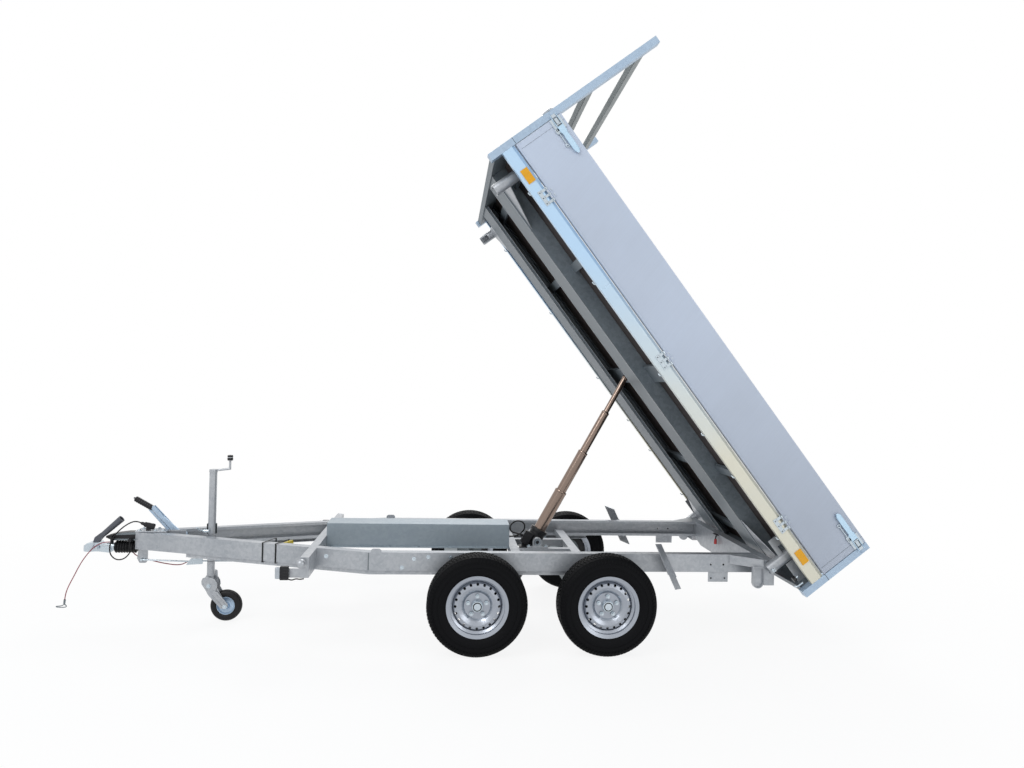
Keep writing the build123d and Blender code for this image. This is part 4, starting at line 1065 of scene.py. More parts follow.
@dataclass
class RoadWheel:
    """A road tyre with its tread and the small pieces on its rim."""

    width: float = 0.185
    groove: float = 0.0055
    blocks: int = 84
    # radius, share of the half width: from the bead to the shoulder
    sidewall: Outline = (
        (0.1655, 0.64), (0.176, 0.74), (0.184, 0.80), (0.190, 0.84), (0.2, 0.93), (0.215, 0.975),
        (0.228, 0.985), (0.2285, 0.97), (0.232, 0.97), (0.2325, 0.99), (0.252, 0.97), (0.2525, 0.955),
        (0.256, 0.95), (0.2565, 0.96), (0.272, 0.90), (0.281, 0.82))
    # width, share of the pitch, place across, turn of the row in steps
    tread_rows: tuple[tuple[float, float, float, float], ...] = (
        (0.022, 0.84, 0.0, 0.0), (0.023, 0.80, 0.0305, 0.5), (0.023, 0.80, -0.0305, 0.5),
        (0.025, 0.86, 0.0600, 0.2), (0.025, 0.86, -0.0600, 0.7))
    shoulder_drop: float = 0.0075
    block_lean: float = 0.003
    lug_root: float = 0.262
    # radius, share of the half width: a lug on the shoulder
    lug: Outline = ((0.262, 0.982), (0.262, 0.950), (0.279, 0.800), (0.2845, 0.795), (0.2755, 0.925))
    lug_half: float = 0.0045
    lug_place: float = 0.9        # share of the half width from which a lug is drawn
    lug_turn: float = 0.02
    stud_ring: float = 0.056
    studs: int = 5
    # radius, distance outward from the wheel's middle
    brake_plate: Outline = (
        (0.094, -0.0405), (0.120, -0.0405), (0.1375, -0.036), (0.1375, -0.029), (0.1355, -0.029),
        (0.1355, -0.0345), (0.119, -0.0385), (0.094, -0.0385), (0.094, -0.0405))
    kit: RingKit = field(default_factory=RingKit)
    tyre_mesh: bpy.types.Mesh | None = None

    def build_tyre(self) -> bpy.types.Mesh:
        """The tyre about Z: sidewalls with their rings and five rows of tread blocks.

        Returns:
            The mesh, shared by the four wheels.
        """
        half, root = self.width / 2, WHEEL_R - self.groove
        side = [(radius, half * share) for radius, share in self.sidewall]
        side += [(root - 0.001, half * 0.72), (root, half * 0.4)]
        outline = side + [(r, -h) for r, h in reversed(side)]
        tyre = Builder()
        tyre.turn(outline + [outline[0]], Matrix(), 96)
        step = 2 * math.pi / self.blocks
        for across, share, shift, turn in self.tread_rows:
            block = self.tread_block(across, 2 * math.pi * root / self.blocks * share, shift)
            tyre.mesh.from_mesh(self.kit.ring(block, self.blocks, root, shift, step * turn))
        for sign in (-1, 1):
            ends = [[Vector((radius - self.lug_root, y, sign * (half * share - half * self.lug_place)))
                     for radius, share in self.lug] for y in (-self.lug_half, self.lug_half)]
            lug = Builder()
            lug.drawn_out(ends)
            shift = sign * half * self.lug_place
            tyre.mesh.from_mesh(self.kit.ring(lug, self.blocks, self.lug_root, shift, self.lug_turn))
        return tyre.close("tyre")

    def tread_block(self, across: float, around: float, shift: float) -> Builder:
        """One block of the tread, tapered and leaning with its row.

        Args:
            across: its width along the axle.
            around: its length around the tyre.
            shift: where its row is across the tyre.

        Returns:
            The block, its X outward.
        """
        outer = abs(shift) > 0.05
        drop = self.shoulder_drop if outer else 0.0
        lean = math.copysign(self.block_lean, shift) if shift else 0.0
        low, high = -0.003 - drop, self.groove - drop * 0.5
        corners = [(-across / 2, -around / 2 + lean), (across / 2, -around / 2 - lean),
                   (across / 2, around / 2 - lean), (-across / 2, around / 2 + lean)]
        fall = math.copysign(drop, shift) if shift else 0.0
        foot = [Vector((low, y, z)) for z, y in corners]
        top = [Vector((high - fall * z / across, y * 0.94, z * 0.95)) for z, y in corners]
        block = Builder()
        block.drawn_out([foot, top])
        return block

    def place_of(self, axle: str, side: int) -> Matrix:
        """Where a wheel stands, its own Z outward."""
        turn = Matrix.Rotation(-math.pi / 2 * side, 4, "X")
        return Matrix.Translation((AXLE_X[axle], side * WHEEL_Y, WHEEL_R - BALL_HEIGHT)) @ turn

    def fit(self, axle: str, side_name: str) -> None:
        """Put one wheel's pieces in place.

        Args:
            axle: front or rear.
            side_name: left or right.
        """
        side = SIDES[side_name]
        body = f"wheel_{axle}_{side_name}"
        tag = f"{axle}_{side_name}"
        place = self.place_of(axle, side)
        if self.tyre_mesh is None:
            self.tyre_mesh = self.build_tyre()
        data = self.tyre_mesh.copy()
        data.transform(place)
        tyre = add_object(f"road_tyre_{tag}", data)
        settle(tyre, RUBBER, body)
        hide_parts(f"tyre_{tag}")
        soften(f"rim_{tag}", RIM_SILVER, 0.0012)
        self.fit_hub(place, tag, body)
        shield = Builder()
        shield.turn(self.brake_plate, place, 64)
        shield.piece(f"brake_plate_{tag}", BLACK_PAINT, "chassis")

    def fit_hub(self, place: Matrix, tag: str, body: str) -> None:
        """Hub cap with its dark ring, wheel bolts and valve of one wheel.

        Args:
            place: where the wheel stands.
            tag: the wheel's part of the pieces' names.
            body: the body they ride on.
        """
        seat = WHEEL_SEAT + 0.005
        cap = Builder()
        top = seat + 0.030
        cap.turn([(0.0345, seat), (0.0352, seat + 0.014), (0.033, top - 0.004), (0.030, top + 0.0005),
                  (0.020, top + 0.0035), (0, top + 0.0045)], place, 40)
        cap.piece(f"hub_cap_{tag}", ZINC_PLATE, body)
        ring = Builder()
        ring.turn([(0.0195, top + 0.003), (0.0215, top + 0.0052), (0.0245, top + 0.0046),
                   (0.026, top + 0.0018), (0.0195, top + 0.003)], place, 40)
        ring.piece(f"cap_ring_{tag}", DARK_PLASTIC, body)
        bolts = []
        outward = (place.to_3x3() @ Vector((0, 0, 1))).normalized()
        for i in range(self.studs):
            angle = 2 * math.pi * (i + 0.25) / self.studs
            spot = Vector((self.stud_ring * math.cos(angle), self.stud_ring * math.sin(angle), seat + 0.008))
            bolts.append((place @ spot, outward))
        FASTENERS.place(f"wheel_bolts_{tag}", bolts, body, radius=0.0098, height=0.018, washer=0.0125)
        valve = Builder()
        start = place @ Vector((0.150, 0, -0.004))
        bend = place @ Vector((0.142, 0, 0.020))
        tip = place @ Vector((0.130, 0, 0.048))
        valve.rod(start, bend, 0.0065, 0.0048, 14)
        valve.rod(bend, tip, 0.0048, 0.0042, 14)
        valve.piece(f"valve_{tag}", BLACK_RUBBER, body)


FASTENERS = FastenerKit()


@dataclass
class Studio:
    """Floor, soft lights and the camera."""

    floor_half: float = 40.0
    floor_middle: Point = (2.5, 0.0, -BALL_HEIGHT)
    floor_white: float = 0.88  # share of the white that shows whatever the light, under the trailer
    fade: tuple[float, float] = (1.6, 5.0)  # distances between which the floor turns wholly white
    sky: Point = (0.86, 0.92, 1.0)
    sky_strength: float = 0.55
    eye: Point = (2.290, -5.1085, 1.1136)
    yaw: float = 0.0871
    pitch: float = -0.0041
    roll: float = 0.0255
    focal: float = 745.18      # in pixels of the photo's width
    image_width: float = 1024.0

    def floor(self) -> None:
        """A plain pale floor."""
        half = self.floor_half
        corners = ((-half, -half), (half, -half), (half, half), (-half, half))
        data = bpy.data.meshes.new("floor")
        data.from_pydata([(x, y, -BALL_HEIGHT) for x, y in corners], [], [(0, 1, 2, 3)])
        floor = add_object("floor", data)
        paper = bpy.data.materials.new("studio_paper")
        paper.use_nodes = True
        tree = paper.node_tree
        wiring = Wiring(tree)
        shader = tree.nodes["Principled BSDF"]
        shader.inputs["Base Color"].default_value = (0.92, 0.92, 0.92, 1)
        shader.inputs["Roughness"].default_value = 0.95
        glow = wiring.node("ShaderNodeEmission", {"Strength": 1.0})
        away = wiring.node("ShaderNodeVectorMath", {1: self.floor_middle})
        away.operation = "DISTANCE"
        wiring.link(tree.nodes.new("ShaderNodeTexCoord").outputs["Object"], away.inputs[0])
        fade = wiring.spread(away.outputs["Value"], *self.fade)
        white = wiring.maths("ADD", wiring.maths("MULTIPLY", fade, 1 - self.floor_white), self.floor_white)
        share = wiring.maths("MULTIPLY", shown_rays(wiring), white)
        shown = wiring.node("ShaderNodeMixShader", {0: share, 1: shader.outputs[0], 2: glow.outputs[0]})
        wiring.link(shown.outputs[0], tree.nodes["Material Output"].inputs["Surface"])
        floor.data.materials.append(paper)

    def world(self) -> None:
        """White for what looks past the object, softer grey as light."""
        world = bpy.data.worlds.new("studio")
        bpy.context.scene.world = world
        world.use_nodes = True
        tree = world.node_tree
        wiring = Wiring(tree)
        light = tree.nodes["Background"]
        light.inputs["Color"].default_value = (*self.sky, 1)
        light.inputs["Strength"].default_value = self.sky_strength
        shown = wiring.node("ShaderNodeBackground", {"Color": (1, 1, 1, 1), "Strength": 1.0})
        blend = wiring.node("ShaderNodeMixShader", {
            0: shown_rays(wiring), 1: light.outputs[0], 2: shown.outputs[0]})
        wiring.link(blend.outputs[0], tree.nodes["World Output"].inputs["Surface"])

    @staticmethod
    def lamp(name: str, place: Point, target: Point, size: float, power: float) -> None:
        """One soft area light.

        Args:
            name: the light's name.
            place: where it hangs.
            target: what it faces.
            size: its width.
            power: its power in watts.
        """
        data = bpy.data.lights.new(name, "AREA")
        data.size = size
        data.energy = power
        lamp = add_object(name, data)
        lamp.location = place
        lamp.rotation_euler = (Vector(target) - Vector(place)).to_track_quat("-Z", "Y").to_euler()

    def lights(self) -> None:
        """A high key from the front left, a fill and a light from behind."""
        self.lamp("key", (-2.5, -6.0, 7.0), (2.5, 0, 0.8), 4.5, 330)
        self.lamp("fill", (8.5, -6.0, 3.0), (2.8, 0, 0.8), 4.0, 110)
        self.lamp("back", (3.0, 6.0, 6.5), (2.6, 0, 0.8), 4.0, 260)

    def camera(self) -> None:
        """The photo's viewpoint."""
        data = bpy.data.cameras.new("camera")
        data.sensor_width = 36.0
        data.lens = self.focal / self.image_width * data.sensor_width
        ahead = Vector((math.sin(self.yaw) * math.cos(self.pitch), math.cos(self.yaw) * math.cos(self.pitch),
                        -math.sin(self.pitch)))
        level = Vector((math.cos(self.yaw), -math.sin(self.yaw), 0))
        upright = level.cross(ahead)
        right = level * math.cos(self.roll) + upright * math.sin(self.roll)
        up = upright * math.cos(self.roll) - level * math.sin(self.roll)
        camera = add_object("camera", data)
        columns = Matrix((right, up, -ahead)).transposed().to_4x4()
        camera.matrix_world = Matrix.Translation(self.eye) @ columns
        bpy.context.scene.camera = camera

    def build(self) -> None:
        """Set up the whole studio."""
        bpy.context.scene.view_settings.view_transform = "Standard"
        self.floor()
        self.world()
        self.lights()
        self.camera()


@dataclass(frozen=True)
class CordRoute:
    """A free cord: its control points from the ground, and what it is."""

    name: str
    node: str
    body: str
    finish: Finish
    diameter: float
    length: float
    far_end: str
    stiffness: str
    pieces: tuple[str, ...]
    points: tuple[Point, ...]

    def build(self) -> None:
        line = [at(*p) for p in self.points]
        made = smooth_line(self.name, line, self.diameter / 2)
        settle(made, self.finish, self.body)
        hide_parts(self.node)


BREAKAWAY = CordRoute(
    "breakaway_wire", "breakaway_cable", "chassis", RED_SLEEVE, 0.006, 0.499, "fitting", "stiff",
    ("snap_hook",),
    ((0.138, -0.052, 0.495), (0.101, -0.052, 0.495), (0.062, -0.054, 0.480), (0.026, -0.055, 0.450),
     (-0.006, -0.055, 0.412), (-0.034, -0.055, 0.370), (-0.058, -0.055, 0.325), (-0.079, -0.054, 0.280),
     (-0.101, -0.053, 0.236), (-0.121, -0.052, 0.193), (-0.134, -0.051, 0.150), (-0.137, -0.050, 0.118)))
LAMP_LEAD = CordRoute(
    "lamp_lead", "plug_lead", "chassis", BLACK_RUBBER, 0.008, 0.538, "plug", "medium",
    ("lamp_plug",),
    ((0.262, -0.062, 0.500), (0.262, -0.062, 0.475), (0.272, -0.067, 0.447), (0.260, -0.069, 0.416),
     (0.230, -0.070, 0.388), (0.188, -0.071, 0.382), (0.152, -0.072, 0.408), (0.139, -0.072, 0.452),
     (0.148, -0.072, 0.500), (0.172, -0.070, 0.546), (0.208, -0.066, 0.585), (0.250, -0.058, 0.618),
     (0.291, -0.044, 0.633), (0.320, -0.040, 0.620)))
OIL_HOSE = CordRoute(
    "oil_hose", "hydraulic_hose", "chassis", BLACK_RUBBER, 0.010, 0.402, "object", "stiff", (),
    ((2.735, -0.050, 0.552), (2.775, -0.050, 0.552), (2.815, -0.058, 0.572), (2.843, -0.068, 0.608),
     (2.838, -0.080, 0.648), (2.800, -0.092, 0.669), (2.760, -0.101, 0.660), (2.734, -0.111, 0.629),
     (2.746, -0.107, 0.593), (2.781, -0.092, 0.584), (2.8155, -0.0871, 0.5717)))


@dataclass
class Front:
    """Coupling, overrun device, handbrake, plug and jockey wheel."""

    # heights in this class are from the ground
    boot_x: tuple[float, float] = (0.150, 0.2875)
    boot_r: float = 0.0325
    boot_wave: float = 0.0085
    boot_folds: int = 8
    fold_steps: int = 8
    case_half: float = 0.034
    # X and height: the dark case over the boot, then its two zinc edges
    case: Outline = ((0.100, 0.519), (0.128, 0.507), (0.150, 0.501), (0.289, 0.501),
                     (0.289, 0.5565), (0.226, 0.5555), (0.150, 0.545), (0.100, 0.530))
    case_edges: tuple[Outline, ...] = (
        ((0.152, 0.503), (0.289, 0.503), (0.289, 0.513), (0.152, 0.513)),
        ((0.160, 0.536), (0.289, 0.542), (0.289, 0.5555), (0.226, 0.5545), (0.160, 0.545)))
    lever_y: float = 0.022
    lever_bend: Point = (0.366, 0.022, 0.707)
    lever_tip: Point = (0.260, 0.022, 0.767)
    lever_flank: Outline = (
        (0.360, 0.710), (0.366, 0.7165), (0.381, 0.7245), (0.5600, 0.5355), (0.5300, 0.5290))
    lever_web: Outline = ((0.344, 0.694), (0.3610, 0.6970), (0.516, 0.5355), (0.490, 0.5350))
    grip_ribs: int = 7
    plug_pins: int = 10
    plug_ring: float = 0.0145
    jockey: tuple[float, float] = (0.790, -0.100)
    jockey_axle: Point = (0.895, -0.100, 0.100)
    # radius, distance from the middle: one half of the jockey tyre, then of its pressed rim
    jockey_tread: Outline = ((0.0583, 0.019), (0.066, 0.023), (0.080, 0.025), (0.090, 0.022), (0.096, 0.016),
                             (0.0992, 0.010), (0.0992, 0.0045), (0.0972, 0.0035))
    jockey_rim: Outline = (
        (0.0583, 0.0185), (0.0570, 0.0205), (0.0545, 0.0200), (0.0520, 0.0160), (0.0480, 0.0065),
        (0.0320, 0.0035), (0.0250, 0.0060), (0.0200, 0.0150), (0.0175, 0.0285))
    fork_cheek: Outline = (
        (0.751, 0.283), (0.772, 0.291), (0.800, 0.287), (0.826, 0.277), (0.8400, 0.255), (0.8435, 0.2315),
        (0.832, 0.1925), (0.8045, 0.1635), (0.786, 0.178), (0.772, 0.2055), (0.7455, 0.244), (0.744, 0.2665))
    fork_arm: Outline = (
        (0.7900, 0.1745), (0.8205, 0.2035), (0.846, 0.197), (0.9150, 0.1160), (0.9120, 0.1060),
        (0.9010, 0.0960), (0.886, 0.0900), (0.872, 0.0860))
    fork_ribs: tuple[tuple[float, float, float, float], ...] = (
        (0.812, 0.176, 0.880, 0.100), (0.831, 0.190, 0.900, 0.112))
    fork_latch: Outline = ((0.815, 0.3305), (0.8295, 0.3235), (0.8367, 0.239), (0.8105, 0.239))
    fork_bolt: tuple[float, float] = (0.790, 0.232)

    def bellows(self) -> None:
        """The rubber boot with rounded folds, from the coupling to the drawbar's nose."""
        start, end = self.boot_x
        pitch = (end - start) / self.boot_folds
        profile = [(0.0, 0.0), (0.030, 0.0), (self.boot_r, 0.001)]
        for i in range(self.boot_folds * self.fold_steps + 1):
            wave = 0.5 - 0.5 * math.cos(2 * math.pi * i / self.fold_steps)
            profile.append((self.boot_r + self.boot_wave * wave ** 0.8, pitch * i / self.fold_steps))
        profile += [(0.030, end - start), (0.0, end - start)]
        boot = Builder()
        boot.turn(profile, Matrix.Translation((start, 0, 0)) @ Matrix.Rotation(math.pi / 2, 4, "Y"), 40)
        piece = boot.piece("rubber_boot", BLACK_RUBBER, "chassis")
        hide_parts("bellows")

    def coupling(self) -> None:
        """Coupling body, overrun device and the grip."""
        soften("coupling_head", ZINC_PLATE, 0.007)
        soften("coupling_handle", GREY_PLASTIC, 0.004)
        soften("overrun_housing", GALVANISED, 0.003, ((0.288, 0, 0), (-1, 0, 0)))
        case = Builder()
        case.plate(from_ground(self.case), (-self.case_half, self.case_half))
        case.block(at(0.250, -0.072, 0.500), at(0.274, -0.030, 0.516))
        case.block(at(0.138, -0.060, 0.484), at(0.150, -0.030, 0.540))
        case.piece("overrun_case", BLACK_PAINT, "chassis", 0.0025)
        trim = Builder()
        for side in (-1, 1):
            for edge in self.case_edges:
                trim.plate(from_ground(edge), span(side, self.case_half - 0.001, self.case_half + 0.0016))
        trim.piece("overrun_case_edges", DARK_ZINC, "chassis", 0.0006)
        spots = [(Vector((0.051, y, 0.002)), Vector((0, y, 0))) for y in (-0.046, 0.046)]
        FASTENERS.place("coupling_bolts", spots, "chassis", radius=0.0085, height=0.008, washer=0.013)
        nose = [(at(x, y, 0.569), Vector((0, 0, 1))) for x in (0.312, 0.412, 0.462) for y in (-0.036, 0.036)]
        FASTENERS.place("nose_bolts", nose, "chassis", radius=0.0095, height=0.008, washer=0.014)

    def handbrake(self) -> None:
        """Lever, its flanks and web, ribbed grip and button."""
        soften("handbrake_lever", POST_ZINC, 0.0018)
        flanks = Builder()
        for thick in ((-0.0145, -0.0105), (0.0105, 0.0145)):
            flanks.plate(from_ground(self.lever_flank), tuple(self.lever_y + y for y in thick))
        flanks.plate(from_ground(self.lever_web), (self.lever_y - 0.006, self.lever_y + 0.006))
        flanks.piece("lever_flanks", POST_ZINC, "chassis", 0.0012)
        bend, tip = at(*self.lever_bend), at(*self.lever_tip)
        way = (tip - bend).normalized()
        grip = Builder()
        length = (tip - bend).length + 0.006
        profile = [(0.0, 0.0), (0.0168, 0.0)]
        for i in range(self.grip_ribs):
            z = 0.018 + (length - 0.04) * i / (self.grip_ribs - 1)
            profile += [(0.0178, z - 0.004), (0.0192, z - 0.002), (0.0192, z + 0.002), (0.0178, z + 0.004)]
        profile += [(0.0185, length - 0.006), (0.014, length - 0.001), (0.0, length)]
        grip.turn(profile, facing(bend - way * 0.002, way), 28)
        grip.piece("brake_grip", DARK_PLASTIC, "chassis")
        button = Builder()
        button.rod(tip + way * 0.002, tip + way * 0.014, 0.006, 0.005, 16)
        button.piece("brake_button", GREY_PLASTIC, "chassis")

    def plug(self) -> None:
        """The lamp plug with its ribbed nut, nose and pins."""
        before, start = [at(*point) for point in LAMP_LEAD.points[-2:]]
        way = (start - before).normalized()
        neck = start + way * 0.024
        nose = neck + Vector((0.062, 0.008, -0.020))
        along = (nose - neck).normalized()
        body = Builder()
        nut = [(0, 0), (0.006, 0), (0.0075, 0.004), (0.010, 0.008), (0.011, 0.024), (0, 0.025)]
        body.turn(nut, facing(start, way), 24)
        place = facing(neck, along)
        reach = (nose - neck).length
        body.turn([(0, -0.001), (0.012, 0), (0.0145, 0.004), (0.0145, 0.016), (0.018, 0.020), (0.0182, 0.044),
                   (0.0200, 0.046), (0.0202, 0.060), (0.0185, 0.062), (0.0182, reach), (0.0150, reach),
                   (0.0150, reach - 0.012), (0, reach - 0.012)], place, 32)
        for i in range(self.plug_pins):
            angle = 2 * math.pi * i / self.plug_pins
            spot = Vector((self.plug_ring * math.cos(angle), self.plug_ring * math.sin(angle), 0))
            ends = [place @ (spot + Vector((0, 0, z))) for z in (0.002, 0.017)]
            body.rod(*ends, 0.0016, None, 8)
        low, high = at(neck.x + 0.012, neck.y - 0.005, 0.568), neck + Vector((0.036, 0.015, -0.008))
        body.block(low, high)
        made = body.piece("lamp_plug", DARK_PLASTIC, "chassis")
        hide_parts("plug")

    def hook(self) -> None:
        """The snap hook, a bent wire with its gate."""
        x, y, z = BREAKAWAY.points[-1]
        hook = Builder()
        hook.rod(at(x + 0.0005, y, z + 0.003), at(x - 0.003, y + 0.001, z - 0.026), 0.0068, 0.0060, 20)
        wire = ((-0.003, -0.026), (0.012, -0.036), (0.010, -0.047), (-0.020, -0.0485), (-0.050, -0.047),
                (-0.053, -0.041), (-0.030, -0.040), (-0.014, -0.037), (-0.004, -0.030))
        hook.pipe([at(x + dx, y, z + dz) for dx, dz in wire], 0.0029)
        made = hook.piece("snap_hook", DARK_ZINC, "chassis")
        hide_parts("breakaway_hook")

    def jockey_wheel(self) -> None:
        """Jockey leg, crank, clamp, tyre and rim."""
        x, y = self.jockey
        soften("jockey_outer_tube", GALVANISED, 0.0015)
        soften("jockey_clamp", UNDER_ZINC, 0.002, ((x, y - 0.004, 0), (0, -1, 0)))
        soften("jockey_leg", GALVANISED, 0.0015)
        self.jockey_fork()
        knob = Builder()
        place = Matrix.Translation(at(x + 0.104, y, 1.041))
        knob.turn([(0, 0.0), (0.012, 0.0), (0.017, 0.004), (0.0185, 0.012), (0.0165, 0.022), (0.0185, 0.030),
                   (0.016, 0.036), (0.0, 0.0385)], place, 28)
        knob.piece("crank_knob", DARK_PLASTIC, "chassis")
        lever = Builder()
        bend = ((-0.036, -0.034, 0.590), (-0.050, -0.045, 0.592), (-0.062, -0.060, 0.600),
                (-0.070, -0.082, 0.618))
        lever.pipe([at(x + dx, y + dy, z) for dx, dy, z in bend], 0.0055)
        lever.rod(at(x - 0.006, y - 0.041, 0.590), at(x - 0.040, y - 0.041, 0.590), 0.010, None, 18)
        lever.piece("clamp_lever", ZINC_PLATE, "chassis")
        tread = Builder()
        place = Matrix.Translation(at(*self.jockey_axle)) @ Matrix.Rotation(math.pi / 2, 4, "X")
        outline = [*self.jockey_tread, *((r, -h) for r, h in reversed(self.jockey_tread))]
        tread.turn(outline + [outline[0]], place, 64)
        made = tread.piece("jockey_tyre_rubber", BLACK_RUBBER, "jockey_wheel")
        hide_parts("jockey_tyre")

    def jockey_fork(self) -> None:
        """Cheeks, ribbed arms, latch and dished rim of the jockey wheel."""
        x, y = self.jockey
        body = body_of_node("jockey_leg")
        fork = Builder()
        for side in (-1, 1):
            fork.plate(from_ground(self.fork_cheek), span(side, 0.0358, 0.0395, y))
            fork.plate(from_ground(self.fork_arm), span(side, 0.0390, 0.0425, y))
            for x0, z0, x1, z1 in self.fork_ribs:
                fork.rod(at(x0, y + side * 0.0425, z0), at(x1, y + side * 0.0425, z1), 0.0032, None, 12)
        fork.rod(at(x, y, 0.288), at(x, y, 0.3885), 0.0236, None, 40)
        fork.plate(from_ground(self.fork_latch), (y + 0.006, y + 0.012))
        fork.piece("jockey_cheeks", GALVANISED, body, 0.0012)
        pins = []
        for (pin_x, height), out in ((self.fork_bolt, 0.0405), (self.jockey_axle[::2], 0.0440)):
            pins += [(at(pin_x, y + side * out, height), Vector((0, side, 0))) for side in (-1, 1)]
        FASTENERS.place("jockey_bolts", pins, body, radius=0.0095, height=0.009, washer=0.014)
        rim = Builder()
        half = self.jockey_rim
        place = Matrix.Translation(at(*self.jockey_axle)) @ Matrix.Rotation(math.pi / 2, 4, "X")
        rim.turn([(0.0, 0.0285), *reversed(half), *((r, -h) for r, h in half), (0.0, -0.0285)], place, 56)
        made = rim.piece("jockey_rim_pressed", POST_ZINC, "jockey_wheel")
        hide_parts("jockey_rim")

    def build(self) -> None:
        """Build the whole front end and its cords."""
        self.bellows()
        self.coupling()
        self.handbrake()
        self.plug()
        self.hook()
        self.jockey_wheel()
        BREAKAWAY.build()
        LAMP_LEAD.build()


@dataclass
class Chassis:
    """Beams, cross beams, axles, cradle, brackets, lamps and chock."""

    # solid, finish, edge rounding
    soft_edges: tuple[tuple[str, Finish, float], ...] = (
        ("chassis_beam_left", GALVANISED, 0.0035), ("chassis_beam_right", GALVANISED, 0.0035),
        ("front_cross_beam", GALVANISED, 0.003), ("rear_cross_beam", GALVANISED, 0.003),
        ("rear_brackets", GALVANISED, 0.0012), ("cylinder_cradle", GALVANISED, 0.002),
        ("pump_box", PUMP_SHEET, 0.004), ("axle_rails", GALVANISED, 0.0012),
        ("axle_front", UNDER_ZINC, 0.004), ("axle_rear", UNDER_ZINC, 0.004),
        ("brake_linkage", ZINC_PLATE, 0.001), ("valve_block", DARK_PLASTIC, 0.003),
        ("tail_lamps", RED_LENS, 0.003), ("wheel_chock", YELLOW, 0.003),
    )
    # heights in this class are from the ground
    beam_out: float = 0.5905      # a side beam's outer face from the middle
    # X and height
    beam_bolts: Outline = (
        (1.60, 0.534), (2.206, 0.531), (2.120, 0.52), (2.340, 0.531), (2.05, 0.468), (2.62, 0.468))
    box_foot_x: float = 1.56
    box_foot_pitch: float = 0.19
    box_feet: int = 7
    axle_bolt_dx: tuple[float, float] = (-0.205, -0.095)
    lamp_in: float = 0.724        # a marker lamp's inner face from the middle
    lamp_deep: float = 0.026
    lamp_ribs: int = 4
    strap_x: tuple[float, float] = (1.176, 1.262)
    # X and distance from the middle: the outer face of the drawbar's arm at its front and at its bend
    arm_ends: Outline = ((0.290, 0.045), (1.849, 0.590))
    weld_points: int = 13
    weld_low: float = 0.452       # a bead's foot
    weld_rise: float = 0.104
    # X, Y and height
    brake_cable: tuple[Point, ...] = (
        (0.236, 0.030, 0.440), (0.250, 0.030, 0.398), (0.300, 0.030, 0.379), (0.3575, 0.030, 0.360),
        (0.454, 0.030, 0.337), (0.560, 0.010, 0.330), (0.630, -0.045, 0.372), (0.665, -0.055, 0.378))

    def bolts(self) -> None:
        """Bolts that show on the beams, box and cradle."""
        up, outward = Vector((0, 0, 1)), {side: Vector((0, side, 0)) for side in SIDES.values()}
        rows = [(at(x, side * self.beam_out, z), way)
                for x, z in self.beam_bolts for side, way in outward.items()]
        FASTENERS.place("beam_bolts", rows, "chassis", radius=0.0085, height=0.007, washer=0.013)
        feet = [(at(self.box_foot_x + self.box_foot_pitch * i, y, 0.4905), up)
                for y in (-0.113, 0.113) for i in range(self.box_feet)]
        FASTENERS.place("box_bolts", feet, "chassis", radius=0.006, height=0.005, washer=0.009)
        cradle = [(at(TRUNNION.x + dx, side * 0.150, 0.5085), up)
                  for dx in (-0.056, 0.056) for side in outward]
        FASTENERS.place("bearing_bolts", cradle, "chassis", radius=0.0095, height=0.009, washer=0.015)
        plates = [(at(x + dx, side * 0.5465, 0.428), way)
                  for x in AXLE_X.values() for dx in self.axle_bolt_dx for side, way in outward.items()]
        FASTENERS.place("axle_bolts", plates, "chassis", radius=0.0095, height=0.009, washer=0.015)

    def marker_lamps(self) -> None:
        """Clear lens on a black body at each end of the front cross beam."""
        for name, side in SIDES.items():
            lamp = Builder()
            y0, y1 = span(side, self.lamp_in, self.lamp_in + self.lamp_deep)
            lamp.block(at(1.366, y0, 0.431), at(1.413, y1, 0.508))
            for i in range(self.lamp_ribs):
                z = 0.441 + 0.0165 * i
                lamp.block(at(1.384, y0 - 0.0008, z), at(1.4145, y1 + 0.0008, z + 0.004))
            body = lamp.piece(f"marker_body_{name}", DARK_PLASTIC, "chassis", 0.003)
            lens = Builder()
            lens.block(at(1.337, y0 + 0.002, 0.436), at(1.368, y1 - 0.002, 0.503))
            lens.piece(f"marker_lens_{name}", CLEAR, "chassis", 0.007)
            if name == "left":
                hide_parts("marker_lamps")
            route = ((1.405, 0.010, 0.436), (1.428, 0.011, 0.4255), (1.455, 0.009, 0.437),
                     (1.478, 0.012, 0.432), (1.500, 0.0105, 0.437))
            lead = Builder()
            lead.pipe([at(x, side * (self.lamp_in + out), z) for x, out, z in route], 0.0036)
            lead.piece(f"marker_lead_{name}", BLACK_RUBBER, "chassis")

    def chock_straps(self) -> None:
        """Rubber straps that hold the chock to the near arm."""
        (nose_x, nose_out), (bend_x, bend_out) = self.arm_ends
        slope = (bend_out - nose_out) / (bend_x - nose_x)
        for i, x in enumerate(self.strap_x):
            face = -(nose_out + (x - nose_x) * slope)
            place = Matrix.Translation((x, face, 0)) @ Matrix.Rotation(-math.atan(slope), 4, "Z")
            low, high, near, far = 0.4405 - BALL_HEIGHT, 0.5625 - BALL_HEIGHT, -0.0035, 0.149
            strap = Builder()
            for z in (low, high):
                strap.block((-0.0045, near, z - 0.0011), (0.0045, far, z + 0.0011), place)
            for y in (near, far):
                strap.block((-0.0045, y - 0.0011, low), (0.0045, y + 0.0011, high), place)
            strap.piece(f"chock_strap_{i + 1}", BLACK_RUBBER, "chassis", 0.0005)

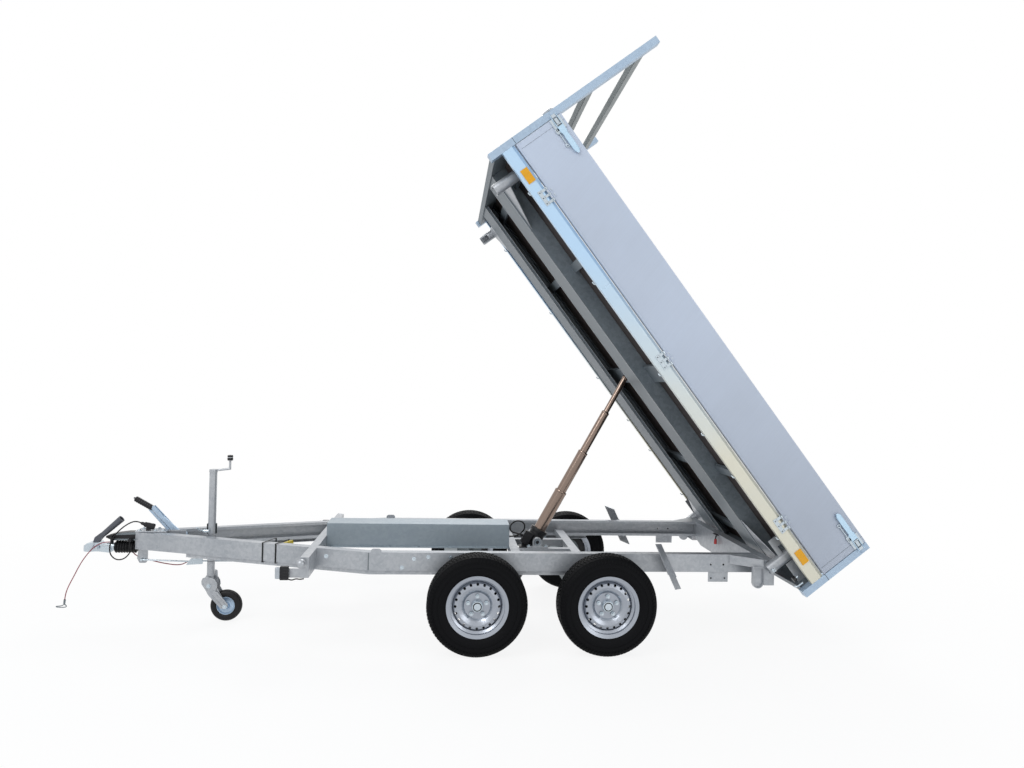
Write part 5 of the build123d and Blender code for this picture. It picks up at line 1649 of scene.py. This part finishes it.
    def tip_lever(self) -> None:
        """The small valve lever with its red grip on the rear cross beam."""
        lever = Builder()
        lever.block(at(4.222, 0.030, 0.552), at(4.241, 0.110, 0.557))
        lever.pipe([at(4.232, 0.060, 0.556), at(4.226, 0.058, 0.536), at(4.224, 0.056, 0.522)], 0.005)
        lever.piece("tip_lever", BLACK_PAINT, "chassis")
        grip = Builder()
        grip.rod(at(4.224, 0.056, 0.524), at(4.222, 0.052, 0.488), 0.009, 0.011, 18)
        grip.piece("tip_lever_grip", RED_LENS, "chassis")

    def welds(self) -> None:
        """Weld beads at the bends and cross beams."""
        bead = Builder()
        for side in SIDES.values():
            steps = self.weld_points - 1
            heights = [self.weld_low + self.weld_rise * i / steps for i in range(self.weld_points)]
            bead.pipe([at(self.arm_ends[1][0], side * self.beam_out, z + 0.0008 * (i % 2))
                       for i, z in enumerate(heights)], 0.0028)
            bead.pipe([at(1.470 + 0.004 * (i % 2), side * (0.459 + 0.0006 * i), z)
                       for i, z in enumerate(heights)], 0.0026)
        bead.piece("weld_beads", UNDER_ZINC, "chassis")

    def brackets(self) -> None:
        """Small angle brackets under the rear of the beams, with black discs painted as the shade in their
        holes, and the brake cable.
        """
        plates, holes = Builder(), []
        for side in SIDES.values():
            for inner, low, high in ((0.5815, 0.386, 0.4485), (0.5450, 0.4450, 0.4482)):
                y0, y1 = span(side, 0.5845, inner)
                plates.block(at(3.942, y0, low), at(4.069, y1, high))
            holes += [(at(x, side * 0.5848, 0.409), Vector((0, side, 0))) for x in (3.9605, 4.0475)]
        plates.piece("beam_brackets", GALVANISED, "chassis", 0.001)
        # black discs on the brackets: painted shade in their holes
        FASTENERS.place("bracket_hole_shade", holes, "chassis", BLACK_PAINT, 0.005, 0.0012, 0.0055, 16)
        # black discs just inside the beams' holes: painted shade
        shade_discs = Builder()
        for side in SIDES.values():
            for x in (3.955, 4.037):
                shade_discs.rod(at(x, side * 0.5853, 0.494), at(x, side * 0.5892, 0.494), 0.0068, None, 20)
        shade_discs.piece("beam_hole_shade", BLACK_PAINT, "chassis")
        cable = Builder()
        cable.pipe([at(*point) for point in self.brake_cable], 0.0034)
        cable.piece("brake_cable", RED_SLEEVE, "chassis")

    def build(self) -> None:
        """Build the chassis pieces."""
        for node, finish, width in self.soft_edges:
            soften(node, finish, width)
        self.bolts()
        self.marker_lamps()
        self.chock_straps()
        self.tip_lever()
        self.welds()
        self.brackets()
        OIL_HOSE.build()


@dataclass
class Lift:
    """The telescopic cylinder."""

    stage_r: tuple[float, ...] = (0.0415, 0.034, 0.0265)
    stage_top: tuple[float, ...] = (0.369, 0.679, 0.996)
    # radius and height
    collar: Outline = ((0.043, 0.0705), (0.052, 0.0715), (0.0605, 0.0685), (0.0612, 0.060), (0.0612, 0.052),
                       (0.0595, 0.050), (0.0612, 0.048), (0.0605, 0.0455))
    trunnion_ring: Outline = (
        (0.0125, 0.001), (0.0125, 0.0045), (0.0135, 0.0055), (0.0180, 0.0055), (0.0190, 0.0045),
        (0.0190, 0.0))
    trunnion_end: float = 0.157   # its face from the middle

    def build(self) -> None:
        """Dress the housing and stages, and add the bright wiper rings."""
        soften("cylinder_housing", BLACK_PAINT, 0.003)
        for i in range(4):
            soften(f"cylinder_stage_{i + 1}", STAGE_CHROME, 0.0012)
        for i, (radius, top) in enumerate(zip(self.stage_r, self.stage_top)):
            ring = Builder()
            ring.turn([(radius - 0.0055, top + 0.002), (radius - 0.001, top + 0.002),
                       (radius + 0.0009, top - 0.001), (radius + 0.0009, top - 0.013),
                       (radius - 0.0002, top - 0.015)], LIFT_PLACE, 48)
            ring.piece(f"stage_ring_{i + 1}", STAGE_CHROME, f"lift_stage_{i + 1}")
        collar = Builder()
        collar.turn(self.collar, LIFT_PLACE, 48)
        collar.piece("collar_nut", BLACK_PAINT, "lift_housing")
        for name, side in SIDES.items():
            start = TRUNNION + Vector((0, side * self.trunnion_end, 0))
            place = Matrix.Translation(start) @ Matrix.Rotation(-side * math.pi / 2, 4, "X")
            cap = Builder()
            cap.turn(self.trunnion_ring, place, 36)
            cap.piece(f"trunnion_ring_{name}", ZINC_PLATE, "lift_housing")
            centre = Builder()
            centre.turn([(0.0, 0.0012), (0.0122, 0.0012), (0.0124, 0.0)], place, 36)
            centre.piece(f"trunnion_end_{name}", BLACK_PAINT, "lift_housing")


@dataclass
class Bed:
    """The raised bed: posts, boards, rack, floor, rails and fittings."""

    soft_edges: tuple[tuple[str, Finish, float], ...] = (
        ("corner_posts", POST_ZINC, 0.003), ("ladder_rack", RACK_ZINC, 0.004),
        ("bed_cross_members", MEMBER_ZINC, 0.002), ("bed_long_left", MEMBER_ZINC, 0.002),
        ("bed_long_right", MEMBER_ZINC, 0.002), ("bed_sockets", GALVANISED, 0.0012),
        ("eye_bracket", GALVANISED, 0.002), ("bed_floor", PLY, 0.001),
        ("front_board", SHEET, 0.003), ("tailgate", SHEET, 0.003),
    )
    ends: tuple[float, float] = (0.043, BED_L - 0.043)
    hinges: tuple[float, ...] = (0.384, 1.538, 2.723)
    hooks: tuple[float, ...] = (0.325, 0.95, 1.60, 2.029, 2.336, 2.787)
    # the latch levers' heights, and their two ends from the bed's own end
    latch_v: tuple[float, float] = (0.413, 0.451)
    front_lever: tuple[float, float] = (0.030, 0.291)
    rear_lever: tuple[float, float] = (0.027, 0.293)
    latch_rod: Outline = ((0.075, 0.4045), (0.150, 0.4035), (0.212, 0.4028))
    # distances from the hinge's middle: three fingers, then the rivets of the drop side's leaf
    fingers: Outline = ((-0.0455, -0.0290), (-0.0078, 0.0078), (0.0290, 0.0455))
    leaf_rivets: tuple[float, ...] = (-0.021, -0.0145, 0.0145, 0.021)
    # distance from the middle and height of the members' lower edges, given a painted highlight
    member_lip_highlights: Outline = ((0.5285, 0.0255), (0.2715, 0.0255), (0.268, 0.0455))
    reflector_half: float = 0.045
    reflector_bars: int = 5
    pin_y: float = 0.766
    pin_v: float = -0.046
    fitting_y: float = 0.862
    fitting_u: float = 3.050
    # radius and height
    post_disc: Outline = (
        (0.0, 0.0), (0.0360, 0.0), (0.0375, 0.006), (0.0340, 0.0115), (0.0220, 0.0165), (0.0, 0.0185))
    rail_low: float = 0.072
    # inward from the side, height: flat face, then the recess under the drop side
    rail_face: tuple[tuple[float, float], ...] = (
        (0.0, 0.072), (0.0, 0.1355), (0.0015, 0.138), (0.005, 0.1425), (0.0085, 0.147), (0.0105, 0.1515),
        (0.011, 0.156))

    def rails(self) -> None:
        """Side rails with the hollow that the drop side's rounded edge turns in, and the floor's ledges."""
        inner = [(inward + 0.004, high - 0.0005) for inward, high in reversed(self.rail_face[1:])]
        back = [(0.004, 0.125), (0.045, 0.125), (0.045, 0.121), (0.004, 0.121),
                (0.004, self.rail_low + 0.004), (0.030, self.rail_low + 0.004), (0.030, self.rail_low)]
        for name, side in SIDES.items():
            rail = Builder()
            outline = [(side * (HALF_W - inward), high) for inward, high in (*self.rail_face, *inner, *back)]
            rail.bar(outline, self.ends, BED_PLACE)
            made = rail.piece(f"side_rail_{name}", RAIL_ZINC, "bed", 0.0012)
            if name == "left":
                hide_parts("side_rails")

    def members(self) -> None:
        """Strips of the plain hot-dip zinc along the long members' lower edges: painted highlight against the
        members' painted shade.
        """
        lips = Builder()
        for side in SIDES.values():
            for y, v in self.member_lip_highlights:
                y0, y1 = span(side, y - 0.0022, y + 0.0022)
                lips.block((self.ends[0], y0, v - 0.0016), (self.ends[1], y1, v + 0.0022), BED_PLACE)
        lips.piece("member_lip_highlights", GALVANISED, "bed", 0.0008)

    def boards(self) -> None:
        """Drop sides with rivets, caps and their latches."""
        for name, side in SIDES.items():
            body = f"drop_side_{name}"
            soften(f"side_board_{name}", SHEET, 0.0012)
            out = Vector((0, side, 0))
            face = side * (HALF_W + 0.0015)
            spots = []
            for u in (0.058, BED_L - 0.058):
                spots += [(on_bed(u, face, v), out) for v in (0.19, 0.33, 0.465)]
            FASTENERS.place(f"board_rivets_{name}", spots, body, SHEET, 0.0035, 0.002, 0.0045, 12)
            leaves = []
            for u in self.hinges:
                leaves += [(on_bed(u + du, side * (HALF_W + 0.004), 0.177), out) for du in self.leaf_rivets]
            FASTENERS.place(f"leaf_rivets_{name}", leaves, body, ZINC_PLATE, 0.0028, 0.002, 0.0036, 12)
            self.latches(name, side, body)
            seams = Builder()
            y0, y1 = span(side, HALF_W, HALF_W + 0.0008)
            for u in (0.0858, BED_L - 0.0858):
                seams.block((u - 0.0006, y0, 0.175), (u + 0.0006, y1, 0.479), BED_PLACE)
            seams.piece(f"stile_seams_{name}", DARK_ZINC, body)

    def latches(self, name: str, side: int, body: str) -> None:
        """Folded latch levers with their cases, hooks, rods and ring eyes.

        Args:
            name: left or right.
            side: -1 or 1.
            body: the drop side's body.
        """
        mirror = Matrix.Translation((BED_L, 0, 0)) @ Matrix.Scale(-1, 4, (1, 0, 0))
        near, off, out = HALF_W + 0.0015, HALF_W + 0.009, HALF_W + 0.016
        low, high = self.latch_v
        ends = (("front", Matrix(), self.front_lever), ("rear", mirror, self.rear_lever))
        for tag, turned, (root, tip) in ends:
            place = BED_PLACE @ turned
            levers = Builder()
            face = [(root + 0.075, low + 0.002), (tip - 0.014, low + 0.007), (tip - 0.003, low + 0.013),
                    (tip, low + 0.019), (tip - 0.003, high - 0.013), (tip - 0.014, high - 0.007),
                    (root + 0.075, high - 0.002)]
            levers.plate(face, span(side, out - 0.0025, out), place)
            for edge in (low, high - 0.003):
                y0, y1 = span(side, off, out)
                levers.block((root, y0, edge), (root + 0.120, y1, edge + 0.003), place)
                levers.block((root + 0.118, y0, edge + (0.003 if edge == low else -0.003)),
                             (tip - 0.016, y1, edge + (0.006 if edge == low else 0.0)), place)
            lever = levers.piece(f"latch_lever_{tag}_{name}", LATCH_ZINC, body, 0.0008)
            case = Builder()
            y0, y1 = span(side, near, off)
            case.block((0.050, y0, 0.396), (0.128, y1, 0.466), place)
            case.block((0.108, y0, 0.392), (0.140, y1, 0.416), place)
            case.piece(f"latch_case_{tag}_{name}", ZINC_PLATE, body, 0.002)
            # a dark plate set in the latch case's recess: painted shade
            inside = Builder()
            y0, y1 = span(side, off - 0.001, off + 0.0012)
            inside.block((0.052, y0, low + 0.003), (root + 0.074, y1, high - 0.003), place)
            inside.piece(f"latch_painted_shade_{tag}_{name}", DARK_ZINC, body)
            works = Builder()
            pin = [place @ Vector((0.094, side * (off + 0.0035), z)) for z in (low + 0.0005, high - 0.0005)]
            works.rod(*pin, 0.0034, None, 16)
            y0, y1 = span(side, off + 0.001, off + 0.005)
            works.block((0.056, y0, low + 0.010), (0.090, y1, high - 0.010), place)
            works.block((0.030, y0, low + 0.006), (0.048, y1, high - 0.006), place)
            y_rod = side * (near + 0.0055)
            works.pipe([place @ Vector((u, y_rod, v)) for u, v in self.latch_rod], 0.0034)
            works.pipe(bed_ring(place @ Vector((0.2215, y_rod, 0.4025)), 0.0088), 0.0027, True)
            works.piece(f"latch_works_{tag}_{name}", ZINC_PLATE, body, 0.0006)
            if tag == "front":
                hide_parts(f"board_latches_{name}")

    def hinge_leaves(self) -> None:
        """Fixed hinge leaves with three fingers, their pins and rivets."""
        low, flat_top, line_v, line_y = 0.101, 0.134, 0.157, HALF_W + 0.010
        for name, side in SIDES.items():
            leaves, spots = Builder(), []
            y0, y1 = span(side, HALF_W, HALF_W + 0.0035)
            for u in self.hinges:
                leaves.block((u - 0.048, y0, low), (u + 0.048, y1, flat_top - 0.010), BED_PLACE)
                for start, end in [(u + a, u + b) for a, b in self.fingers]:
                    leaves.block((start, y0, flat_top - 0.012), (end, y1, line_v - 0.001), BED_PLACE)
                    k0, k1 = span(side, HALF_W + 0.001, line_y)
                    leaves.block((start, k0, line_v - 0.0048), (end, k1, line_v - 0.0012), BED_PLACE)
                    leaves.rod(*(on_bed(a, side * line_y, line_v) for a in (start, end)), 0.005, None, 18)
                pin = [on_bed(a, side * line_y, line_v) for a in (u - 0.0480, u + 0.0480)]
                leaves.rod(*pin, 0.0026, None, 14)
                spots += [(on_bed(u + du, side * (HALF_W + 0.0035), 0.111), Vector((0, side, 0)))
                          for du in (-0.036, 0.0, 0.036)]
            made = leaves.piece(f"hinge_leaves_{name}", ZINC_PLATE, "bed", 0.0008)
            if name == "left":
                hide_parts("rail_hinges")
            FASTENERS.place(f"hinge_rivets_{name}", spots, "bed", DARK_ZINC, 0.0034, 0.002, 0.0044, 12)

    def tie_hooks(self) -> None:
        """Tie hooks, bent pins under the side rails."""
        for name, side in SIDES.items():
            hooks = Builder()
            for u in self.hooks:
                ys = side * (HALF_W - 0.0100)
                top = self.rail_low + 0.002
                bend = ((0.004, 0.0), (0.0, -0.010), (-0.009, -0.013), (-0.020, -0.012))
                hooks.pipe([on_bed(u + du, ys, top + dv) for du, dv in bend], 0.0035)
            hooks.piece(f"tie_hooks_{name}", ZINC_PLATE, "bed", 0.0006)

    def reflectors(self) -> None:
        """Amber reflectors with their frames, two on each side."""
        half = self.reflector_half
        for name, side in SIDES.items():
            for i, u in enumerate((0.228, BED_L - 0.213)):
                plate = Builder()
                y0, y1 = span(side, HALF_W + 0.0002, HALF_W + 0.005)
                plate.block((u - half, y0, 0.092), (u + half, y1, 0.138), BED_PLACE)
                y0, y1 = span(side, HALF_W + 0.0045, HALF_W + 0.0056)
                for k in range(self.reflector_bars):
                    along = u - 0.036 + 0.018 * k
                    plate.block((along - 0.0065, y0, 0.096), (along + 0.0065, y1, 0.134), BED_PLACE)
                made = plate.piece(f"reflector_{name}_{i + 1}", AMBER, "bed", 0.0012)
                if (name, i) == ("left", 0):
                    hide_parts("reflectors")

    def locking_pins(self) -> None:
        """Pins through the rear sockets, for tipping to the rear, with their rings."""
        for name, side in SIDES.items():
            pin = Builder()
            *line, eye = [on_bed(PIVOT_U, side * (self.pin_y + out), self.pin_v)
                          for out in (0.050, 0.010, -0.0355, 0.056)]
            pin.pipe(line, 0.0055)
            pin.pipe(bed_ring(eye, 0.010), 0.0022, True)
            pin.piece(f"locking_pin_{name}", ZINC_PLATE, "bed")

    def rear_fittings(self) -> None:
        """Black knobs and hook levers of the tailgate under the rear corners."""
        for name, side in SIDES.items():
            knob = Builder()
            u, y = self.fitting_u, side * self.fitting_y
            knob.rod(on_bed(u, y, 0.0245), on_bed(u, y, 0.004), 0.016, 0.019, 24)
            knob.piece(f"tailgate_knob_{name}", DARK_PLASTIC, "bed")
            lever = Builder()
            lever.rod(on_bed(u, y, 0.040), on_bed(u, y, 0.024), 0.006, None, 16)
            lever.pipe([on_bed(3.099, y, 0.042), on_bed(3.099, y, 0.014), on_bed(3.094, y, -0.006),
                        on_bed(3.083, y, -0.012)], 0.006)
            lever.piece(f"tailgate_lever_{name}", ZINC_PLATE, "bed")

    def post_details(self) -> None:
        """Seams where the stakes stand on the posts, and the pale discs on the front posts."""
        seams, discs = Builder(), Builder()
        for side in SIDES.values():
            y0, y1 = span(side, HALF_W - 0.0556, HALF_W + 0.0006)
            for u0, u1 in ((-0.0006, 0.0436), (BED_L - 0.0436, BED_L + 0.0006)):
                seams.block((u0, y0, 0.1668), (u1, y1, 0.1692), BED_PLACE)
            spot = Matrix.Translation(on_bed(0.0, side * 0.872, 0.431))
            discs.turn(self.post_disc, spot @ BED_TURN @ Matrix.Rotation(-math.pi / 2, 4, "Y"), 36)
        seams.piece("post_seams", BLACK_PAINT, "bed")
        discs.piece("post_discs", CLEAR, "bed")

    def board_lines(self) -> None:
        """Seams of the planks that the end boards are made of."""
        lines = Builder()
        for u in (0.0112, BED_L - 0.0112):
            for v in (0.235, 0.315, 0.395):
                lines.block((u - 0.0012, -0.848, v - 0.0014), (u + 0.0012, 0.848, v + 0.0014), BED_PLACE)
        lines.piece("end_board_seams", UNDER_ZINC, "bed")

    def build(self) -> None:
        """Build the bed's pieces."""
        for node, finish, width in self.soft_edges:
            soften(node, finish, width)
        self.rails()
        self.members()
        self.boards()
        self.hinge_leaves()
        self.tie_hooks()
        self.reflectors()
        self.locking_pins()
        self.rear_fittings()
        self.board_lines()
        self.post_details()


def main() -> None:
    """Build the studio and every sub-assembly in order."""
    logging.basicConfig(level=logging.INFO, format="%(message)s")
    Studio().build()
    Front().build()
    Chassis().build()
    wheel = RoadWheel()
    for axle in AXLE_X:
        for side_name in SIDES:
            wheel.fit(axle, side_name)
    Lift().build()
    Bed().build()


if __name__ == "__main__":
    main()
